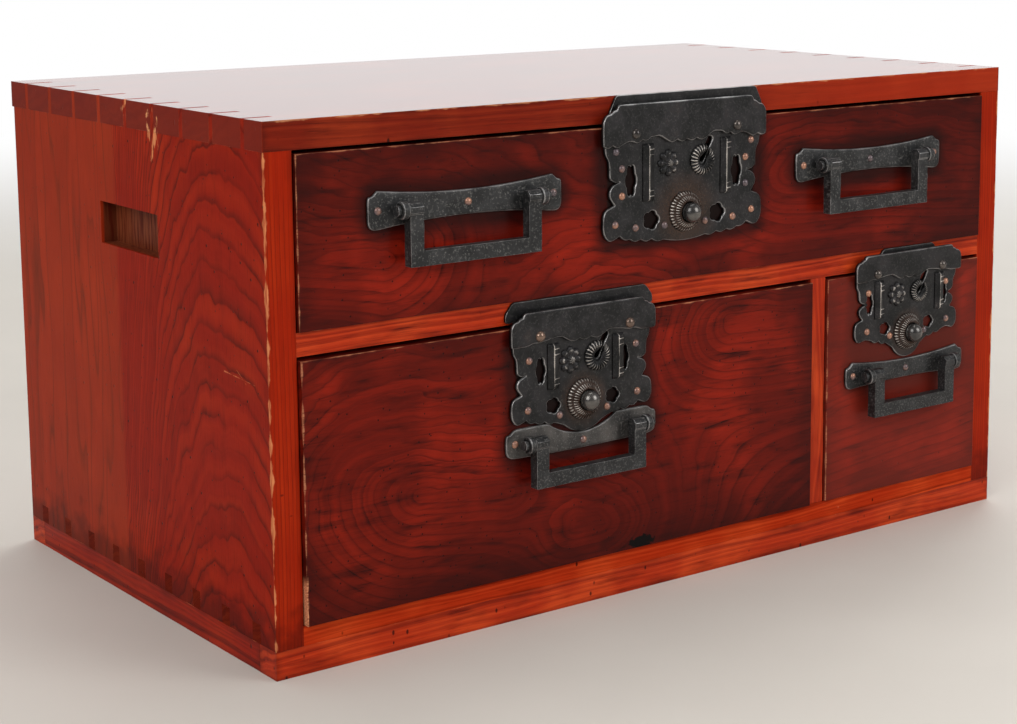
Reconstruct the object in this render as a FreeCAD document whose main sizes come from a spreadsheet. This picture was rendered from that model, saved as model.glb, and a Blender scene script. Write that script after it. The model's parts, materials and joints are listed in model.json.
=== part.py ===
"""A small lacquered sea chest: one wide drawer above a large and a small one, with iron locks and bails.

Millimetres. +Z is up, +X is to the right as seen from the front, and the front faces -Y.
The origin is on the floor, under the middle of the whole chest.
"""

import FreeCAD
import Part
import Sketcher
import math
import operator
import os
from types import SimpleNamespace

SIZES = {
    # Case
    "case_width": 560,
    "case_depth": 322,
    "case_height": 300,
    "top_thick": 16,
    "top_back_lap": 3,
    "side_thick": 17,
    "base_height": 16,
    "base_rail_width": 18,
    "bottom_thick": 11,
    "back_thick": 7,
    "back_rabbet": 8,
    "rail_height": 13,
    "rail_depth": 30,
    "rail_tenon_length": 6,
    "rail_tenon_depth": 14,
    "rail_tenon_height": 7,
    "shelf_thick": 9,
    "shelf_housing": 5,
    "partition_thick": 13,
    "lower_bay_height": 147.5,
    "small_bay_width": 141.5,
    # Corner joints of the case
    "joint_margin": 21,
    "pin_width": 4,
    "tenon_width": 9,
    # Hand holds in the sides
    "hold_width": 75,
    "hold_height": 25,
    "hold_recess": 10,
    "hold_centre_height": 225,
    "hold_corner_size": 3,
    # Drawer boxes
    "front_thick": 17,
    "front_lip": 8,
    "drawer_side_thick": 9,
    "drawer_back_thick": 9,
    "drawer_bottom_thick": 7,
    "drawer_bottom_lap": 8,
    "drawer_side_gap": 1,
    "drawer_top_gap": 2,
    "drawer_floor_gap": 0.3,
    "drawer_rear_gap": 8,
    "drawer_side_drop": 5,
    "drawer_back_drop": 10,
    "upper_proud": 2,
    "large_proud": 3,
    "small_proud": 1.5,
    # Wooden pegs, square in section
    "peg_width": 3,
    "peg_length": 22,
    "peg_inset": 22,
    # Forged nails and rivets
    "nail_shank": 1.6,
    "nail_length": 8,
    "nail_head_radius": 2.5,
    "nail_crown_radius": 1.4,
    "nail_head_height": 1.5,
    "rivet_head_radius": 3.5,
    "rivet_crown_radius": 1.9,
    "rivet_head_height": 2.2,
    # Ironwork shared by the three locks
    "lock_plate_thick": 2.5,
    "lock_cover_thick": 2.5,
    "strike_thick": 1.8,
    "strike_setback": 1.2,
    "strike_shoulder": 5,
    "plate_top_setback": 0.6,
    "guide_bar_width": 6.5,
    "guide_bar_height": 2.9,
    "guide_bar_gap": 0.6,
    "washer_radius": 12.2,
    "washer_step_radius": 9.7,
    "washer_bore_radius": 7.3,
    "washer_step": 2.6,
    "washer_height": 5,
    "petal_notch": 1.1,
    "button_radius": 6.5,
    "button_height": 14,
    "button_shoulder": 8,
    "button_brow": 11.4,
    "button_brow_radius": 5.4,
    "button_crown_radius": 2.4,
    "button_throat": 3.7,
    "button_stem_width": 5,
    "button_stem_length": 5,
    "key_slot_length": 14,
    "key_slot_half_width": 1.9,
    "rosette_height": 3,
    "rosette_step": 1.8,
    "rosette_step_radius": 5.2,
    "boss_radius": 6.6,
    "boss_petal_notch": 2.2,
    "boss_petal_height": 1.6,
    "boss_heart_radius": 2.2,
    "boss_heart_height": 2.8,
    "bolt_thick": 3,
    "bolt_setback": 6,
    "bolt_bar_height": 8,
    "bolt_prong_width": 6,
    "bolt_throw": 8,
    "bolt_socket_depth": 7,
    "lock_pocket_margin": 4,
    "running_gap": 0.3,
    "fit_gap": 0.06,
    # Lock of the upper drawer
    "upper_lock_width": 126,
    "upper_lock_height": 84,
    "upper_lock_corner": 80.4,
    "upper_lock_cover": 23.5,
    "upper_lock_lap": 11,
    "upper_bar_offset": 30,
    "upper_bar_length": 34,
    "upper_key_offset": 13,
    "upper_key_drop": 36.5,
    "upper_button_drop": 66.5,
    "upper_rosette_radius": 9.5,
    "upper_strike_width": 106,
    # Lock of the large drawer
    "large_lock_width": 105,
    "large_lock_height": 74.8,
    "large_lock_corner": 65.5,
    "large_lock_cover": 19.5,
    "large_lock_lap": 7,
    "large_bar_offset": 23.6,
    "large_bar_length": 27,
    "large_key_offset": 9.7,
    "large_key_drop": 31.3,
    "large_button_drop": 55.6,
    "large_rosette_radius": 9.3,
    "large_strike_width": 90,
    # Lock of the small drawer
    "small_lock_width": 97.5,
    "small_lock_height": 71,
    "small_lock_corner": 57.5,
    "small_lock_cover": 17,
    "small_lock_lap": 10.5,
    "small_bar_offset": 28,
    "small_bar_length": 25,
    "small_key_offset": 10,
    "small_key_drop": 28,
    "small_button_drop": 54,
    "small_rosette_radius": 7.6,
    "small_strike_width": 46,
    # Ironwork shared by the four handles
    "handle_plate_thick": 2,
    "handle_notch": 3,
    "handle_nail_inset": 6,
    "pivot_reach": 8,
    "pivot_pin_radius": 3,
    "pivot_pin_stub": 2.2,
    "pivot_gap": 0.4,
    "eye_radius": 5.5,
    "eye_thick": 4.5,
    "eye_shank": 3.4,
    "eye_shank_depth": 12,
    "bail_bar_width": 8.6,
    "bail_bar_thick": 6.4,
    "bail_boss_radius": 4.3,
    # Handles of the upper drawer
    "upper_handle_drop": 36,
    "upper_handle_offset": 155.5,
    "upper_handle_width": 128.7,
    "upper_handle_height": 21.5,
    "upper_handle_top_dip": 3.7,
    "upper_handle_foot_dip": 4,
    "upper_handle_saddle": 115,
    "upper_bail_width": 87,
    "upper_bail_drop": 31,
    # Handle of the large drawer
    "large_handle_gap": 0.4,
    "large_handle_width": 109.5,
    "large_handle_height": 17,
    "large_handle_top_dip": 8.2,
    "large_handle_foot_dip": -1,
    "large_handle_saddle": 50,
    "large_bail_width": 80,
    "large_bail_drop": 26,
    # Handle of the small drawer
    "small_handle_gap": 1.45,
    "small_handle_width": 109,
    "small_handle_height": 17.5,
    "small_handle_top_dip": 3.2,
    "small_handle_foot_dip": 2,
    "small_handle_saddle": 96,
    "small_bail_width": 74,
    "small_bail_drop": 27.5,
}

JOINTS_PER_CORNER = 9
WASHER_PETALS = 14
ROSETTE_PETALS = 12
BOSS_PETALS = 6
BOSS_BLUNTNESS = 0.5
NAIL_SIDES = 6
FORGED_SIDES = 8
BUTTON_SIDES = 16
KEY_SLANT = math.radians(60)
KEY_END_BOW = 0.8

# Half outlines of a lock, down its right side and in along its foot: shares of the half width and of the drop.
PLATE_SIDE = (
    (0.95, 0.36),
    (0.90, 0.41),
    (0.90, 0.53),
    (0.78, 0.56),
    (0.88, 0.59),
    (0.91, 0.66),
    (0.84, 0.73),
    (0.96, 0.76),
    (0.98, 0.85),
    (0.97, 0.94),
    (0.90, 1.00),
    (0.78, 0.96),
    (0.66, 0.99),
)
PLATE_FOOT = (
    (0.53, 0.02),
    (0.40, 0.15),
    (0.26, 0.45),
)
COVER_HALF = (
    (0.82, 0.00),
    (0.84, 0.12),
    (0.88, 0.15),
    (0.90, 0.21),
    (0.96, 0.24),
    (1.00, 0.40),
    (1.00, 1.00),
    (0.78, 1.00),
    (0.70, 0.92),
    (0.64, 0.95),
    (0.44, 0.86),
    (0.33, 0.84),
    (0.24, 0.98),
    (0.08, 0.98),
)
BAR_HALF = (
    (0.45, 1.00),
    (0.85, 0.62),
    (1.00, 0.00),
)

# Nails through a lock plate, as shares of its half width and of the drop to its lower corners.
FULL_NAILING = ((0.83, 0.34), (0.76, 0.466), (0.76, 0.665), (0.84, 0.87), (0.60, 0.908), (0.25, 0.914))
SHORT_NAILING = ((0.74, 0.43), (0.76, 0.87), (0.33, 0.96))
RIVET_SPOT = (0.62, 0.74)

# Pierced crescents: shares of the two ends, and how far the two edges bow, as shares of the half width.
WAIST_CRESCENT = ((0.44, 0.68), (0.06, 0.012))
FOOT_CRESCENT = ((0.45, 0.80), (0.31, 0.91), (0.06, 0.01))

OPERATIONS = {"+": operator.add, "-": operator.sub, "*": operator.mul, "/": operator.truediv}

doc = FreeCAD.newDocument("sea_chest")
pieces = {}


class Size:
    """A length: its number, and the sheet expression that gives that number."""

    def __init__(self, value, text):
        self.value = value
        self.text = text

    @classmethod
    def of(cls, length):
        return length if isinstance(length, cls) else cls(float(length), f"{float(length):.6f}")

    @classmethod
    def join(cls, left, sign, right):
        left = cls.of(left)
        right = cls.of(right)
        return cls(OPERATIONS[sign](left.value, right.value), f"({left.text} {sign} {right.text})")

    def __add__(self, other):
        return Size.join(self, "+", other)

    def __radd__(self, other):
        return Size.join(other, "+", self)

    def __sub__(self, other):
        return Size.join(self, "-", other)

    def __rsub__(self, other):
        return Size.join(other, "-", self)

    def __mul__(self, other):
        return Size.join(self, "*", other)

    def __rmul__(self, other):
        return Size.join(other, "*", self)

    def __truediv__(self, other):
        return Size.join(self, "/", other)

    def __neg__(self):
        return Size.join(0, "-", self)


def fill_sheet():
    """The sheet of driving sizes, and the same sizes as expressions."""
    sheet = doc.addObject("Spreadsheet::Sheet", "Sizes")
    for row, (name, number) in enumerate(SIZES.items(), start=1):
        sheet.set(f"A{row}", name)
        sheet.set(f"B{row}", str(number))
        sheet.setAlias(f"B{row}", name)
    doc.recompute()
    return SimpleNamespace(**{name: Size(float(number), f"Sizes.{name}") for name, number in SIZES.items()})


def group(prefix):
    """The sizes whose names start with a prefix, named without it."""
    return SimpleNamespace(**{name[len(prefix):]: getattr(size, name) for name in SIZES if name.startswith(prefix)})


size = fill_sheet()


def bind(item, property_path, length):
    """Drives one property of a document object from the sheet."""
    item.setExpression(property_path, Size.of(length).text)


def place(item, x, y, z):
    """Puts a document object at a point that follows the sheet."""
    for axis, length in zip("xyz", (x, y, z)):
        bind(item, f"Placement.Base.{axis}", length)
    return item


def keep(label, item):
    """Names a finished sub-part, which is written to a file of that name."""
    item.Label = label
    pieces[label] = item
    return item


def block(name, low, high):
    """A squared piece between two opposite corners."""
    box = doc.addObject("Part::Box", name)
    for side, start, end in zip(("Length", "Width", "Height"), low, high):
        bind(box, side, Size.of(end) - start)
    return place(box, *low)


def join(name, shapes):
    """Several solids as one."""
    fuse = doc.addObject("Part::MultiFuse", name)
    fuse.Shapes = shapes
    fuse.Refine = True
    return fuse


def carve(name, blank, cutters):
    """A blank with every cutter taken out of it."""
    cut = doc.addObject("Part::Cut", name)
    cut.Base = blank
    cut.Tool = cutters[0] if len(cutters) == 1 else join(f"{name}_cutters", cutters)
    cut.Refine = True
    return cut


def copies(name, master, spots):
    """Copies of one small piece at many spots, as separate solids."""
    doc.recompute()
    scattered = doc.addObject("Part::Feature", name)
    solids = []
    for spot in spots:
        solid = master.Shape.copy()
        solid.translate(FreeCAD.Vector(*(Size.of(length).value for length in spot)))
        solids.append(solid)
    scattered.Shape = Part.makeCompound(solids)
    return scattered


def collect(name, solids):
    """Separate solids kept together in one sub-part."""
    compound = doc.addObject("Part::Compound", name)
    compound.Links = solids
    return compound


def new_body(name):
    return doc.addObject("PartDesign::Body", name)


def sketch(body, plane, lift=None):
    """An empty sketch on one of a body's own planes, moved along that plane's normal where lift says so."""
    drawing = body.newObject("Sketcher::SketchObject", f"{body.Name}_sketch")
    support = next(feature for feature in body.Origin.OriginFeatures if feature.Role == plane)
    drawing.AttachmentSupport = [(support, "")]
    drawing.MapMode = "FlatFace"
    if lift is not None:
        bind(drawing, "AttachmentOffset.Base.z", lift)
    return drawing


def hold(drawing, kind, where, length):
    """One driving dimension of a sketch, bound to the sheet. A point at zero is tied to the axis instead."""
    axes = {"DistanceX": -2, "DistanceY": -1}
    if kind in axes and length.value == 0:
        drawing.addConstraint(Sketcher.Constraint("PointOnObject", *where, axes[kind]))
        return
    index = drawing.addConstraint(Sketcher.Constraint(kind, *where, length.value))
    bind(drawing, f"Constraints[{index}]", length)


def bowed_edge(start, end, bow):
    """A sketch arc that bows out to the left of its way by bow, with its radius."""
    across = Size.of(end[0]) - start[0]
    along = Size.of(end[1]) - start[1]
    chord = math.hypot(across.value, along.value)
    radius = (across * across + along * along) / (8 * bow) + bow / 2
    centre_shift = (bow.value - radius.value) / chord
    centre = FreeCAD.Vector(
        Size.of(start[0]).value + across.value / 2 - along.value * centre_shift,
        Size.of(start[1]).value + along.value / 2 + across.value * centre_shift,
    )
    angles = []
    for corner in (end, start) if bow.value > 0 else (start, end):
        angles.append(math.atan2(Size.of(corner[1]).value - centre.y, Size.of(corner[0]).value - centre.x))
    if angles[1] <= angles[0]:
        angles[1] += 2 * math.pi
    circle = Part.Circle(centre, FreeCAD.Vector(0, 0, 1), abs(radius.value))
    return Part.ArcOfCircle(circle, *angles), radius if bow.value > 0 else -radius


def outline(drawing, corners):
    """A closed outline, taken clockwise. Each corner is x, y and how far the edge to the next one bows out."""
    first = drawing.GeometryCount
    count = len(corners)
    edges = []
    radii = {}
    ends = {}
    for number, corner in enumerate(corners):
        following = corners[(number + 1) % count]
        bow = Size.of(corner[2])
        if bow.value == 0:
            points = [FreeCAD.Vector(*(Size.of(length).value for length in spot[:2])) for spot in (corner, following)]
            edges.append(Part.LineSegment(*points))
            ends[number] = (1, 2)
        else:
            arc, radii[number] = bowed_edge(corner, following, bow)
            edges.append(arc)
            ends[number] = (2, 1) if bow.value > 0 else (1, 2)
    drawing.addGeometry(edges, False)
    for number in range(count):
        following = (number + 1) % count
        meeting = (first + number, ends[number][1], first + following, ends[following][0])
        drawing.addConstraint(Sketcher.Constraint("Coincident", *meeting))
    for number, corner in enumerate(corners):
        hold(drawing, "DistanceX", (first + number, ends[number][0]), Size.of(corner[0]))
        hold(drawing, "DistanceY", (first + number, ends[number][0]), Size.of(corner[1]))
    for number, radius in radii.items():
        hold(drawing, "Radius", (first + number,), radius)
    return drawing


def rectangle(drawing, low, high):
    """An upright rectangle between two opposite corners."""
    corners = [(low[0], high[1], 0), (high[0], high[1], 0), (high[0], low[1], 0), (low[0], low[1], 0)]
    return outline(drawing, corners)


def circle(drawing, x, y, radius):
    """A circle by its centre and radius."""
    centre = FreeCAD.Vector(Size.of(x).value, Size.of(y).value)
    index = drawing.addGeometry(Part.Circle(centre, FreeCAD.Vector(0, 0, 1), Size.of(radius).value), False)
    hold(drawing, "DistanceX", (index, 3), Size.of(x))
    hold(drawing, "DistanceY", (index, 3), Size.of(y))
    hold(drawing, "Radius", (index,), Size.of(radius))
    return drawing


def spoke(length, turn):
    """The end of a spoke of some length, as x and y."""
    return length * round(math.cos(turn), 9), length * round(math.sin(turn), 9)


def petals(drawing, radius, valley, count, blunt=0):
    """A closed row of petals between two radii, with tips that are blunt by a share of their width."""
    tips = ((1 - blunt) / 2, (1 + blunt) / 2) if blunt else (0.5,)
    corners = []
    for number in range(count):
        for length, offset in [(valley, 0)] + [(radius, tip) for tip in tips]:
            corners.append((*spoke(length, -2 * math.pi * (number + offset) / count), 0))
    return outline(drawing, corners)


def polygon(drawing, radius, count):
    """A regular polygon with a level side on top."""
    turns = [math.pi / 2 + math.pi * (1 - 2 * number) / count for number in range(count)]
    return outline(drawing, [(*spoke(radius, turn), 0) for turn in turns])


def mirrored(half, crown=0):
    """A whole outline from its right half. The last half edge and the crown cross the middle."""
    left = []
    for number in range(len(half) - 1, -1, -1):
        x, y, _ = half[number]
        left.append((-Size.of(x), y, half[number - 1][2] if number else crown))
    return list(half) + left


def pad(body, drawing, length, along=True):
    """Material on a sketch, along its normal or against it."""
    feature = body.newObject("PartDesign::Pad", f"{body.Name}_pad")
    feature.Profile = drawing
    feature.Reversed = not along
    bind(feature, "Length", length)
    return feature


def pocket(body, drawing, depth, along=True):
    """A cut from a sketch, along its normal or against it."""
    feature = body.newObject("PartDesign::Pocket", f"{body.Name}_pocket")
    feature.Profile = drawing
    feature.Reversed = along
    bind(feature, "Length", depth)
    return feature


def spread(body, feature, drawing, axis, length, count):
    """A feature repeated in a row along one of its sketch's axes."""
    row = body.newObject("PartDesign::LinearPattern", f"{body.Name}_row")
    row.Originals = [feature]
    row.Direction = (drawing, [axis])
    row.Occurrences = count
    bind(row, "Length", length)
    body.Tip = row
    return row


def frustum(name, sides, low_radius, high_radius, low, high):
    """A faceted round piece that stands out from the plate, with one radius at each end."""
    body = new_body(name)
    bar = pad(body, polygon(sketch(body, "XZ_Plane", low), low_radius, sides), high - low)
    doc.recompute()
    normals = {f"Face{number}": face.normalAt(0, 0) for number, face in enumerate(bar.Shape.Faces, 1)}
    slope = body.newObject("PartDesign::Draft", f"{name}_slope")
    slope.Base = (bar, [label for label, normal in normals.items() if abs(normal.y) < 0.5])
    slope.NeutralPlane = (bar, [label for label, normal in normals.items() if normal.y > 0.5])
    narrowing = (low_radius - high_radius) * math.cos(math.pi / sides) / (high - low)
    slope.Reversed = narrowing.value > 0
    steep = narrowing if narrowing.value > 0 else -narrowing
    bind(slope, "Angle", Size(math.degrees(math.atan(steep.value)), f"atan({steep.text})"))
    body.Tip = slope
    return body


# Main lines of the case
half_width = size.case_width / 2
reach = size.large_proud + size.lock_plate_thick + size.button_height
front = (reach - size.case_depth - size.top_back_lap) / 2
back = front + size.case_depth
inner = half_width - size.side_thick
floor = size.base_height + size.bottom_thick
rail_low = floor + size.lower_bay_height
rail_high = rail_low + size.rail_height
ceiling = size.case_height - size.top_thick
partition_right = inner - size.small_bay_width
partition_left = partition_right - size.partition_thick
joint_run = size.case_depth - 2 * size.joint_margin
joint_pitch = joint_run / (JOINTS_PER_CORNER - 1)


def bay(name, left, right, low, high, nailing):
    """The opening that one drawer fills, with the sizes of that drawer's ironwork."""
    return SimpleNamespace(
        name=name,
        left=left + size.drawer_side_gap,
        right=right - size.drawer_side_gap,
        middle=(left + right) / 2,
        low=low + size.drawer_floor_gap,
        high=high - size.drawer_top_gap,
        head=high,
        face=front - getattr(size, f"{name}_proud"),
        rear=back - size.back_thick - size.drawer_rear_gap,
        lock_top=high + getattr(size, f"{name}_lock_lap"),
        own=group(f"{name}_"),
        nailing=nailing,
    )


upper = bay("upper", -inner, inner, rail_high, ceiling, FULL_NAILING)
large = bay("large", -inner, partition_left, floor, rail_low, SHORT_NAILING)
small = bay("small", partition_right, inner, floor, rail_low, SHORT_NAILING)
bays = (upper, large, small)


def peg(axis):
    """A square wooden peg that starts at the origin and runs along one axis."""
    half = size.peg_width / 2
    low = [-half] * 3
    high = [half] * 3
    low[axis] = Size.of(0)
    high[axis] = size.peg_length
    return block(f"peg_along_{'xyz'[axis]}", low, high)


peg_x, peg_y, peg_z = (peg(axis) for axis in range(3))


def even(low, high, count):
    """Evenly spaced places between two ends, both ends included."""
    return [low + (high - low) * step / (count - 1) for step in range(count)]


# Pegs of the case: through the back into the sides, bottom and shelf, and up through the base rails
back_start = back - size.peg_length
back_edge_x = inner + size.back_rabbet / 2
back_edge_heights = even(floor + size.peg_inset, ceiling - size.peg_inset, 3)
back_row_x = even(-inner + size.peg_inset, inner - size.peg_inset, 3)
shelf_middle = rail_high - size.shelf_thick / 2
pegs_in_left = [(-back_edge_x, back_start, height) for height in back_edge_heights]
pegs_in_right = [(back_edge_x, back_start, height) for height in back_edge_heights]
pegs_in_bottom = [(x, back_start, size.base_height + size.bottom_thick / 2) for x in back_row_x]
pegs_in_shelf = [(x, back_start, shelf_middle) for x in back_row_x]
pegs_in_back = pegs_in_left + pegs_in_right + pegs_in_bottom + pegs_in_shelf
rail_row_y = [front + size.joint_margin + joint_pitch * (step + 0.5) for step in (1, 5)]
pegs_up_left = [(-half_width + size.side_thick / 2, y, 0) for y in rail_row_y]
pegs_up_right = [(half_width - size.side_thick / 2, y, 0) for y in rail_row_y]
front_rail_middle = front + size.base_rail_width / 2
back_rail_middle = back - (size.base_rail_width + size.back_thick) / 2
pegs_up_front = [(x, front_rail_middle, 0) for x in back_row_x]
pegs_up_back = [(x, back_rail_middle, 0) for x in back_row_x]


def side_board(label, hand, back_pegs, rail_pegs):
    """A side: pins up into the top, notches for the bottom's tenons, a hand hold, and housings inside."""
    body = new_body(f"{label}_blank")
    outward = hand > 0
    outer = hand * half_width
    inside = hand * inner
    face = rectangle(sketch(body, "YZ_Plane", outer), (front, size.base_height), (back, ceiling))
    pad(body, face, size.side_thick, along=not outward)
    first = front + size.joint_margin
    pin = sketch(body, "YZ_Plane", outer)
    rectangle(pin, (first - size.pin_width / 2, ceiling), (first + size.pin_width / 2, size.case_height))
    pins = pad(body, pin, size.side_thick, along=not outward)
    spread(body, pins, pin, "H_Axis", joint_run, JOINTS_PER_CORNER)
    notch = sketch(body, "YZ_Plane", outer)
    rectangle(notch, (first - size.tenon_width / 2, size.base_height), (first + size.tenon_width / 2, floor))
    notches = pocket(body, notch, size.side_thick, along=not outward)
    spread(body, notches, notch, "H_Axis", joint_run, JOINTS_PER_CORNER)
    hold_middle = front + size.case_depth / 2
    corner = size.hold_corner_size
    wide = size.hold_width / 2
    tall = size.hold_height / 2
    hold_half = [
        (wide - corner, tall, 0),
        (wide, tall - corner, 0),
        (wide, corner - tall, 0),
        (wide - corner, -tall, 0),
    ]
    recess = sketch(body, "YZ_Plane", outer)
    outline(recess, [(x + hold_middle, z + size.hold_centre_height, bow) for x, z, bow in mirrored(hold_half)])
    pocket(body, recess, size.hold_recess, along=not outward)
    rabbet = sketch(body, "YZ_Plane", inside)
    rectangle(rabbet, (back - size.back_thick, size.base_height), (back, ceiling))
    pocket(body, rabbet, size.back_rabbet, along=outward)
    housing = sketch(body, "YZ_Plane", inside)
    rectangle(housing, (front + size.rail_depth, rail_high - size.shelf_thick), (back - size.back_thick, rail_high))
    pocket(body, housing, size.shelf_housing, along=outward)
    mortise = sketch(body, "YZ_Plane", inside)
    rectangle(mortise, *rail_tenon_section())
    body.Tip = pocket(body, mortise, size.rail_tenon_length, along=outward)
    holes = [copies(f"{label}_back_holes", peg_y, back_pegs), copies(f"{label}_rail_holes", peg_z, rail_pegs)]
    keep(label, carve(label, body, holes))


def rail_tenon_section():
    """Low and high corners, in depth and height, of the stub tenons of the middle rail."""
    middle_y = front + size.rail_depth / 2
    middle_z = rail_low + size.rail_height / 2
    low = (middle_y - size.rail_tenon_depth / 2, middle_z - size.rail_tenon_height / 2)
    high = (middle_y + size.rail_tenon_depth / 2, middle_z + size.rail_tenon_height / 2)
    return low, high


def bolt_sockets(bay):
    """Mortises over a drawer that take the two prongs of its bolt."""
    half = size.bolt_prong_width / 2 + size.running_gap
    near = bay.face + size.bolt_setback - size.running_gap
    far = bay.face + size.bolt_setback + size.bolt_thick + size.running_gap
    sockets = []
    for hand in (-1, 1):
        x = bay.middle + hand * bay.own.bar_offset
        low = (x - half, near, bay.head)
        high = (x + half, far, bay.head + size.bolt_socket_depth)
        sockets.append(block(f"{bay.name}_bolt_socket", low, high))
    return sockets


def top_board():
    """The top: slots in both ends take the pins of the sides."""
    body = new_body("top_board_blank")
    plan = sketch(body, "XY_Plane", ceiling)
    rectangle(plan, (-half_width, front), (half_width, back + size.top_back_lap))
    pad(body, plan, size.top_thick)
    first = front + size.joint_margin
    low = first - size.pin_width / 2
    high = first + size.pin_width / 2
    slot = sketch(body, "XY_Plane", ceiling)
    rectangle(slot, (-half_width, low), (-inner, high))
    rectangle(slot, (inner, low), (half_width, high))
    slots = pocket(body, slot, size.top_thick)
    spread(body, slots, slot, "V_Axis", joint_run, JOINTS_PER_CORNER)
    keep("top_board", carve("top_board", body, bolt_sockets(upper)))


def bottom_board():
    """The bottom: tenons on both ends go through the sides."""
    body = new_body("bottom_board_blank")
    plan = sketch(body, "XY_Plane", size.base_height)
    rectangle(plan, (-inner, front), (inner, back - size.back_thick))
    pad(body, plan, size.bottom_thick)
    first = front + size.joint_margin
    tenon = sketch(body, "XY_Plane", size.base_height)
    low = first - size.tenon_width / 2
    high = first + size.tenon_width / 2
    rectangle(tenon, (-half_width, low), (half_width, high))
    tenons = pad(body, tenon, size.bottom_thick)
    spread(body, tenons, tenon, "V_Axis", joint_run, JOINTS_PER_CORNER)
    holes = [
        copies("bottom_back_holes", peg_y, pegs_in_bottom),
        copies("bottom_rail_holes", peg_z, pegs_up_front + pegs_up_back),
    ]
    keep("bottom_board", carve("bottom_board", body, holes))


def base_frame():
    """Four rails under the case, the front and back ones over the full width."""
    width = size.base_rail_width
    side_inner = half_width - size.side_thick
    rails = (
        ("base_front_rail", (-half_width, front), (half_width, front + width), pegs_up_front),
        ("base_back_rail", (-half_width, back - width), (half_width, back), pegs_up_back),
        ("base_left_rail", (-half_width, front + width), (-side_inner, back - width), pegs_up_left),
        ("base_right_rail", (side_inner, front + width), (half_width, back - width), pegs_up_right),
    )
    for label, low, high, spots in rails:
        blank = block(f"{label}_blank", (*low, Size.of(0)), (*high, size.base_height))
        keep(label, carve(label, blank, [copies(f"{label}_holes", peg_z, spots)]))


def back_board():
    """A thin back, set into the rabbets of the sides and pegged."""
    edge = inner + size.back_rabbet
    blank = block("back_board_blank", (-edge, back - size.back_thick, size.base_height), (edge, back, ceiling))
    keep("back_board", carve("back_board", blank, [copies("back_board_holes", peg_y, pegs_in_back)]))


def middle_rail():
    """The rail between the drawers, with stub tenons into the sides and sockets for the lower bolts."""
    bar = block("middle_rail_bar", (-inner, front, rail_low), (inner, front + size.rail_depth, rail_high))
    tenon_low, tenon_high = rail_tenon_section()
    span = inner + size.rail_tenon_length
    tenons = block("middle_rail_tenons", (-span, *tenon_low), (span, *tenon_high))
    blank = join("middle_rail_blank", [bar, tenons])
    keep("middle_rail", carve("middle_rail", blank, bolt_sockets(large) + bolt_sockets(small)))


def middle_shelf():
    """The shelf behind the rail, housed in the sides."""
    span = inner + size.shelf_housing
    low = (-span, front + size.rail_depth, rail_high - size.shelf_thick)
    blank = block("middle_shelf_blank", low, (span, back - size.back_thick, rail_high))
    keep("middle_shelf", carve("middle_shelf", blank, [copies("middle_shelf_holes", peg_y, pegs_in_shelf)]))


def partition():
    """The upright board between the lower drawers, lower under the rail than under the shelf."""
    body = new_body("partition_board")
    rail_back = front + size.rail_depth
    rear = back - size.back_thick
    shelf_low = rail_high - size.shelf_thick
    profile = [
        (front, rail_low, 0),
        (rail_back, rail_low, 0),
        (rail_back, shelf_low, 0),
        (rear, shelf_low, 0),
        (rear, floor, 0),
        (front, floor, 0),
    ]
    pad(body, outline(sketch(body, "YZ_Plane", partition_left), profile), size.partition_thick)
    keep("partition_board", body)


def strike_plate(bay, foot, top, width):
    """The plate on the case above a drawer, which the lock's cover laps."""
    body = new_body(f"{bay.name}_strike_blank")
    half = width / 2
    shoulder = size.strike_shoulder
    edge = [
        (half, top, 0),
        (half + shoulder, foot + shoulder, 0),
        (half + shoulder, foot, 0),
    ]
    pad(body, outline(sketch(body, "XZ_Plane"), mirrored(edge)), size.strike_thick)
    return place(body, bay.middle, front, 0)


def strike_plates():
    """The three strike plates of the case."""
    gap = size.strike_setback
    plates = [strike_plate(upper, ceiling + gap, size.case_height, size.upper_strike_width)]
    for bay, width in ((large, size.large_strike_width), (small, size.small_strike_width)):
        plates.append(strike_plate(bay, rail_low + gap, rail_high - size.running_gap, width))
    keep("strike_plates", collect("strike_plates", plates))


def case_pegs():
    """All wooden pegs of the case."""
    upward = pegs_up_front + pegs_up_back + pegs_up_left + pegs_up_right
    groups = [copies("pegs_of_back", peg_y, pegs_in_back), copies("pegs_of_base", peg_z, upward)]
    keep("case_pegs", collect("case_pegs", groups))


def fastener(name, head_radius, crown_radius, head_height):
    """A forged nail: a faceted head with sloped sides in front of the origin, and a square shank behind it."""
    head = frustum(f"{name}_head", NAIL_SIDES, head_radius, crown_radius, Size.of(0), head_height)
    half = size.nail_shank / 2
    shank = block(f"{name}_shank", (-half, Size.of(0), -half), (half, size.nail_length, half))
    return join(name, [head, shank])


def nail_hole():
    """The square hole that a nail's shank fills, from the origin back into the wood."""
    half = size.nail_shank / 2
    return block("nail_hole", (-half, Size.of(0), -half), (half, size.nail_length, half))


nail = fastener("nail_master", size.nail_head_radius, size.nail_crown_radius, size.nail_head_height)
rivet = fastener("rivet_master", size.rivet_head_radius, size.rivet_crown_radius, size.rivet_head_height)
nail_bore = nail_hole()


def eye():
    """The eye that carries one end of a bail: a ring on a square shank, centred on the bail's pivot."""
    body = new_body("eye_master")
    ring = sketch(body, "YZ_Plane", -size.eye_thick / 2)
    pad(body, polygon(ring, size.eye_radius, FORGED_SIDES), size.eye_thick)
    half = size.eye_shank / 2
    shank = rectangle(sketch(body, "XZ_Plane"), (-half, -half), (half, half))
    pad(body, shank, size.pivot_reach + size.eye_shank_depth, along=False)
    bore = sketch(body, "YZ_Plane", -size.eye_thick / 2)
    body.Tip = pocket(body, circle(bore, 0, 0, size.pivot_pin_radius + size.fit_gap), size.eye_thick)
    return body


def eye_hole():
    """The square hole behind the pivot that an eye's shank fills."""
    half = size.eye_shank / 2
    return block("eye_hole", (-half, Size.of(0), -half), (half, size.pivot_reach + size.eye_shank_depth, half))


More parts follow.
